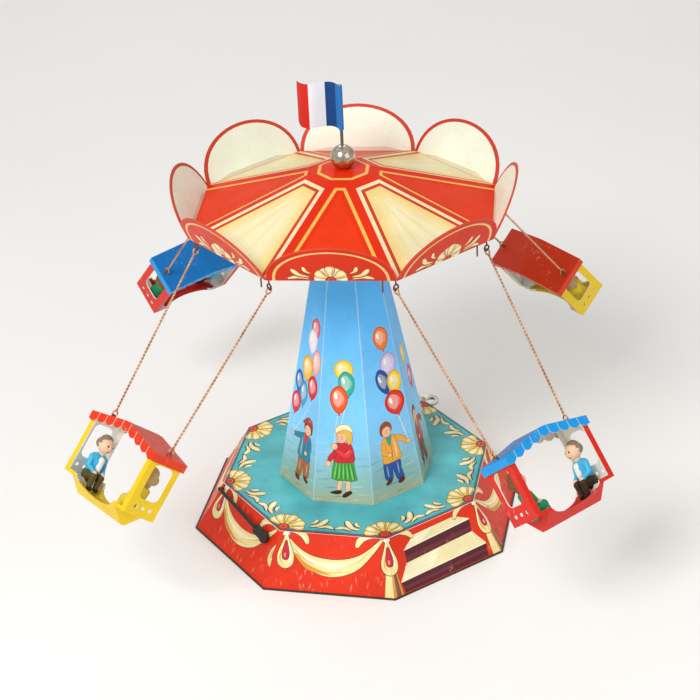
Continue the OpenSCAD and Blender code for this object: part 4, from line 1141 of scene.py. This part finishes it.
def car(k):
    """Body and roof in their paints: inked outside, ivory inside with the floor in body paint darkened as
    painted shade, with a pale line between the scallops.
    """
    body_ink, roof_ink = CAR_PAINTS[k]
    half_l, half_w = half_length(f"car_body_{k}", k), half_length(f"car_body_{k}", k, 1)
    roof_half = half_length(f"car_roof_{k}", k)
    step = 2 * roof_half / SCALLOPS
    # The floor is the body paint darkened a little: painted shade in the car's tub.
    shaded_floor_ink = blend_of(body_ink, INK_DARK, 0.12)
    line_ink = blend_of(roof_ink, WHITE, 0.45)
    # On the blue roofs the valance takes a lighter copy of the roof blue: painted light against the darker
    # top.
    valance_ink = LIGHTER_VALANCE_BLUE if roof_ink == ROOF_BLUE else roof_ink
    near = 0.1 * MM

    def body_tone(c, n):
        on_end = abs(c.x) > half_l - near and abs(n.x) > 0.7
        on_side = abs(c.y) > half_w - near and abs(n.y) > 0.7
        under_bench = c.z < -BENCH_DROP - 2 * near
        if on_end or on_side or (under_bench and (n.z < -0.2 or c.x * n.x > 0.5 * abs(c.x))):
            return body_ink
        return shaded_floor_ink if c.z < -BENCH_DROP - 10 * near and n.z > 0.3 else IVORY

    def roof_tone(c, n):
        if abs(c.x) > EYE_X - 2.6 * MM and c.z > -1.5 * MM and abs(c.y) < 3 * MM:
            return rgb("6b4c38")
        if abs(n.y) > 0.7 and n.z <= 0.5:
            if c.y * n.y < 0:
                return rgb("d9d3c4")
            off = (c.x + roof_half) % step
            return line_ink if min(off, step - off) < SCALLOP_LINE else valance_ink
        if abs(n.x) > 0.7 and n.z <= 0.5:
            return valance_ink if c.x * n.x > 0 else rgb("d9d3c4")
        return rgb("e4dfd2") if n.z < -0.5 else roof_ink

    cuts = [step * i - roof_half + side * SCALLOP_LINE for i in range(1, SCALLOPS) for side in (-1, 1)]
    recoloured(f"car_body_{k}", f"car_body_painted_{k}", k, body_tone)
    recoloured(f"car_roof_{k}", f"car_roof_painted_{k}", k, roof_tone, cuts)


# ---- riders ----

def capsule_distance(p, part):
    """How far a point is outside one rounded limb."""
    a, b, ra, rb = part[:4]
    ab = b - a
    t = 0.0 if ab.length_squared < 1e-12 else min(1.0, max(0.0, (p - a).dot(ab) / ab.length_squared))
    return (p - (a + ab * t)).length - (ra + (rb - ra) * t)


def rounded(bm, a, b, ra, rb):
    """A rounded limb from a to b, tapering from radius ra to rb."""
    axis = b - a
    z = axis.normalized() if axis.length > 1e-9 else Vector((0, 0, 1))
    x = z.orthogonal().normalized()
    y = z.cross(x)
    caps = 5
    turns = [math.pi / 2 * i / caps for i in range(caps + 1)]
    rings = [(a - z * (ra * math.cos(t)), ra * math.sin(t)) for t in turns]
    rings += [(b + z * (rb * math.cos(t)), rb * math.sin(t)) for t in turns[::-1]]
    around = [x * c + y * s for c, s in arc(16)]
    skin(bm, [[centre + p * r for p in around] if r > 1e-9 else [centre] for centre, r in rings])


def gentleman_parts(jacket, trousers, hair):
    """Rounded parts of the gentleman: ends, radii and ink; he sits at +X facing -X. Millimetres."""
    skin, shirt, shoe = rgb("ecc4a4"), rgb("eceadf"), rgb("241a14")
    parts = [((21.6, 0, -35.2), (21.2, 0, -33.4), 4.3, 4.2, trousers),
             ((21.4, 0, -31.4), (21.0, 0, -26.2), 4.1, 4.3, jacket),
             ((21.0, -2.6, -24.6), (21.0, 2.6, -24.6), 2.9, 2.9, jacket),
             ((17.9, 0, -24.8), (17.1, 0, -30.2), 2.0, 1.7, shirt),
             ((20.6, 0, -21.6), (20.6, 0, -20.0), 1.9, 1.9, skin),
             ((20.4, 0, -16.9), (20.6, 0, -16.2), 4.4, 4.3, skin),
             ((21.6, 0, -14.9), (21.8, 0, -14.6), 4.0, 4.0, hair),
             ((22.4, -2.0, -16.2), (22.4, 2.0, -16.2), 3.2, 3.2, hair),
             ((16.0, 0, -17.1), (16.3, 0, -16.5), 0.6, 0.8, skin),
             ((16.6, -0.9, -18.9), (16.6, 0.9, -18.9), 0.35, 0.35, rgb("a8463a")),
             ((20.6, -4.4, -16.8), (20.6, 4.4, -16.8), 0.8, 0.8, skin)]
    for s in (-1, 1):
        parts += [((20.2, s * 2.6, -35.0), (14.6, s * 2.8, -33.6), 2.5, 2.1, trousers),
                  ((14.5, s * 2.8, -33.8), (14.4, s * 2.5, -39.2), 2.0, 1.6, trousers),
                  ((14.4, s * 2.4, -40.4), (12.6, s * 2.4, -40.6), 1.3, 1.2, shoe),
                  ((20.8, s * 4.9, -24.6), (19.6, s * 5.6, -29.4), 1.8, 1.6, jacket),
                  ((19.5, s * 5.5, -29.6), (15.6, s * 3.6, -31.2), 1.5, 1.3, jacket),
                  ((15.2, s * 3.4, -31.4), (14.4, s * 3.0, -31.8), 1.2, 1.1, skin),
                  ((16.5, s * 1.7, -16.0), (16.6, s * 1.75, -16.0), 0.5, 0.5, rgb("2a1c14"))]
    return parts


def lady_parts(dress, trim, hair):
    """Rounded parts of the lady; she sits at +X facing -X. Millimetres."""
    skin, shoe = rgb("efcbb0"), rgb("3a1c18")
    parts = [((21.6, 0, -35.0), (21.2, 0, -33.0), 4.5, 4.2, dress),
             ((21.2, 0, -31.0), (21.0, 0, -27.4), 3.4, 3.7, dress),
             ((21.0, -2.1, -24.8), (21.0, 2.1, -24.8), 2.5, 2.5, dress),
             ((18.6, -1.2, -25.4), (18.6, 1.2, -25.4), 1.3, 1.3, trim),
             ((20.6, 0, -21.8), (20.6, 0, -20.2), 1.6, 1.6, skin),
             ((20.4, 0, -17.2), (20.6, 0, -16.6), 4.1, 4.1, skin),
             ((21.6, 0, -15.0), (21.9, 0, -14.8), 4.2, 4.2, hair),
             ((23.0, -2.4, -17.6), (23.0, 2.4, -17.6), 3.0, 3.0, hair),
             ((22.8, 0, -19.6), (23.2, 0, -21.2), 2.6, 1.8, hair),
             ((16.3, 0, -17.3), (16.5, 0, -16.8), 0.55, 0.7, skin),
             ((16.9, -0.8, -18.9), (16.9, 0.8, -18.9), 0.4, 0.4, rgb("c0392e"))]
    for s in (-1, 1):
        parts += [((20.4, s * 2.4, -34.8), (14.8, s * 2.9, -33.4), 2.9, 2.6, dress),
                  ((14.8, s * 2.7, -34.0), (14.2, s * 2.6, -37.2), 2.4, 2.5, dress),
                  ((14.4, s * 2.2, -37.6), (14.4, s * 2.2, -39.6), 1.4, 1.2, skin),
                  ((14.4, s * 2.2, -40.5), (12.8, s * 2.2, -40.7), 1.2, 1.1, shoe),
                  ((20.8, s * 4.3, -25.0), (19.6, s * 5.0, -29.4), 1.6, 1.4, dress),
                  ((19.4, s * 4.9, -29.6), (15.8, s * 2.8, -31.2), 1.3, 1.1, skin),
                  ((15.4, s * 2.4, -31.2), (14.8, s * 2.0, -31.4), 1.1, 1.0, skin),
                  ((16.75, s * 1.6, -16.3), (16.85, s * 1.65, -16.3), 0.5, 0.5, rgb("2a1c14"))]
    return parts


def rider_mesh(name, parts):
    """The parts run together into one skin, each point inked by the part it lies nearest."""
    parts = [(Vector(a) * MM, Vector(b) * MM, ra * MM, rb * MM, ink) for a, b, ra, rb, ink in parts]
    bm = bmesh.new()
    for part in parts:
        rounded(bm, *part[:4])
    source = bpy.data.objects.new(name + "_parts", mesh_of(bm, name + "_parts"))
    bpy.context.scene.collection.objects.link(source)
    remesh = source.modifiers.new("union", "REMESH")
    remesh.mode = "VOXEL"
    remesh.voxel_size = 0.36 * MM
    smooth = source.modifiers.new("smooth", "SMOOTH")
    smooth.factor, smooth.iterations = 0.5, 3
    whole = bpy.data.meshes.new_from_object(source.evaluated_get(bpy.context.evaluated_depsgraph_get()))
    bpy.data.objects.remove(source)
    ink = whole.attributes.new("ink", "FLOAT_COLOR", "POINT")
    for i, vert in enumerate(whole.vertices):
        ink.data[i].color = min(parts, key=lambda part: capsule_distance(vert.co, part))[4]
    whole.name = name
    return whole


def riders(k):
    """A gentleman and a lady face each other in car k."""
    yellow_car = CAR_PAINTS[k][0] == YELLOW
    if yellow_car:
        trousers, dress, trim, hair = rgb("5a4c22"), rgb("e8cc2e"), PALE_CREAM, rgb("b4925c")
    else:
        trousers, dress, trim, hair = rgb("3a2418"), rgb("1d8a5a"), CAR_RED, rgb("7a4a22")
    for who, end, parts in (("gentleman", SEAT_ENDS[k], gentleman_parts(rgb("44b0da"), trousers,
                                                                        rgb("8c7c68"))),
                            ("lady", -SEAT_ENDS[k], lady_parts(dress, trim, hair))):
        mesh = rider_mesh(f"{who}_painted_{k}", parts)
        mesh.transform(car_frame(k) @ Matrix.Rotation(math.pi if end < 0 else 0.0, 4, "Z"))
        made_object(mesh, f"car_{k}", PAINTED_RIDER, f"{who}_{k}")


# ---- build ----

base_walls()
deck()
column()
canopy()
lobes()
flag()
for k in CARS:
    hanger(k)
    car(k)
    riders(k)

FINISHES = {"base_floor": BASE_METAL, "column_cap": BRASS, "foot_bearing": BRASS, "front_plate": BRASS,
            "back_plate": BRASS, "plate_pillars": STEEL, "mainspring": SPRING_STEEL, "great_wheel": BRASS,
            "click": STEEL, "first_arbor": BRASS, "second_arbor": BRASS, "governor_fly": BRASS,
            "winding_arbor": STEEL, "ratchet_wheel": STEEL, "winding_key": NICKEL, "stop_lever": BLACKENED,
            "drive_shaft": STEEL, "crown_wheel": BRASS, "canopy_hub": BRASS, "hub_pin": STEEL,
            "finial_ball": CHROME, "flag_pole": POLE_GREY, "hooks": HOOK_WIRE}
for node, material in FINISHES.items():
    mesh = NODES[node].data
    mesh.materials.clear()
    mesh.materials.append(material)


# ---- floor, light and camera ----

# name, place, size and power of each lamp
LAMPS = (("key", (-0.4, -1.1, 1.25), 0.6, 16.0), ("fill", (1.3, -0.9, 0.9), 1.2, 4.5),
         ("back", (-0.3, 1.2, 1.2), 0.8, 3.0))
LAMP_AIM = Vector((0, 0, 0.12))
FLOOR_HALF = 6.0
CAMERA_AZIMUTH, CAMERA_ELEVATION, CAMERA_ROLL = (math.radians(a) for a in (12.15, 29.64, 2.69))
CAMERA_AIM = Vector((-0.977, -0.211, 108.1)) * MM
CAMERA_DISTANCE, LENS_MM = 1.1156, 98.473


def studio():
    scene = bpy.context.scene
    scene.view_settings.view_transform = "Standard"
    world = bpy.data.worlds.new("studio")
    world.use_nodes = True
    background = world.node_tree.nodes["Background"]
    background.inputs[0].default_value = (1.0, 0.99, 0.97, 1.0)
    background.inputs[1].default_value = 0.52
    scene.world = world
    floor_mesh = bpy.data.meshes.new("floor")
    r = FLOOR_HALF
    floor_mesh.from_pydata([(-r, -r, 0), (r, -r, 0), (r, r, 0), (-r, r, 0)], [], [(0, 1, 2, 3)])
    floor = bpy.data.objects.new("floor", floor_mesh)
    scene.collection.objects.link(floor)
    pale = Nodes("pale_floor")
    pale.set(Base_Color=pale.mix(pale.span(pale.noise(3.0), 0.3, 0.7, 0.0, 1.0), rgb("f8f7f4"),
                                 rgb("fcfbf9")),
             Roughness=0.7)
    floor_mesh.materials.append(pale.mat)
    for name, place, size, power in LAMPS:
        data = bpy.data.lights.new(name, "AREA")
        data.size = size
        data.energy = power
        lamp = bpy.data.objects.new(name, data)
        lamp.location = place
        lamp.rotation_euler = (LAMP_AIM - Vector(place)).to_track_quat("-Z", "Y").to_euler()
        scene.collection.objects.link(lamp)


def camera():
    """The camera looks down on the front from a little to the right, tipped slightly clockwise."""
    level = math.cos(CAMERA_ELEVATION)
    back = Vector((math.sin(CAMERA_AZIMUTH) * level, -math.cos(CAMERA_AZIMUTH) * level,
                   math.sin(CAMERA_ELEVATION)))
    right = Vector((0, 0, 1)).cross(back).normalized()
    up = back.cross(right)
    x = right * math.cos(CAMERA_ROLL) - up * math.sin(CAMERA_ROLL)
    y = right * math.sin(CAMERA_ROLL) + up * math.cos(CAMERA_ROLL)
    data = bpy.data.cameras.new("camera")
    data.lens = LENS_MM
    data.clip_end = 20
    cam = bpy.data.objects.new("camera", data)
    place = Matrix.Translation(CAMERA_AIM + back * CAMERA_DISTANCE)
    cam.matrix_world = place @ Matrix((x, y, back)).transposed().to_4x4()
    bpy.context.scene.collection.objects.link(cam)
    bpy.context.scene.camera = cam


studio()
camera()
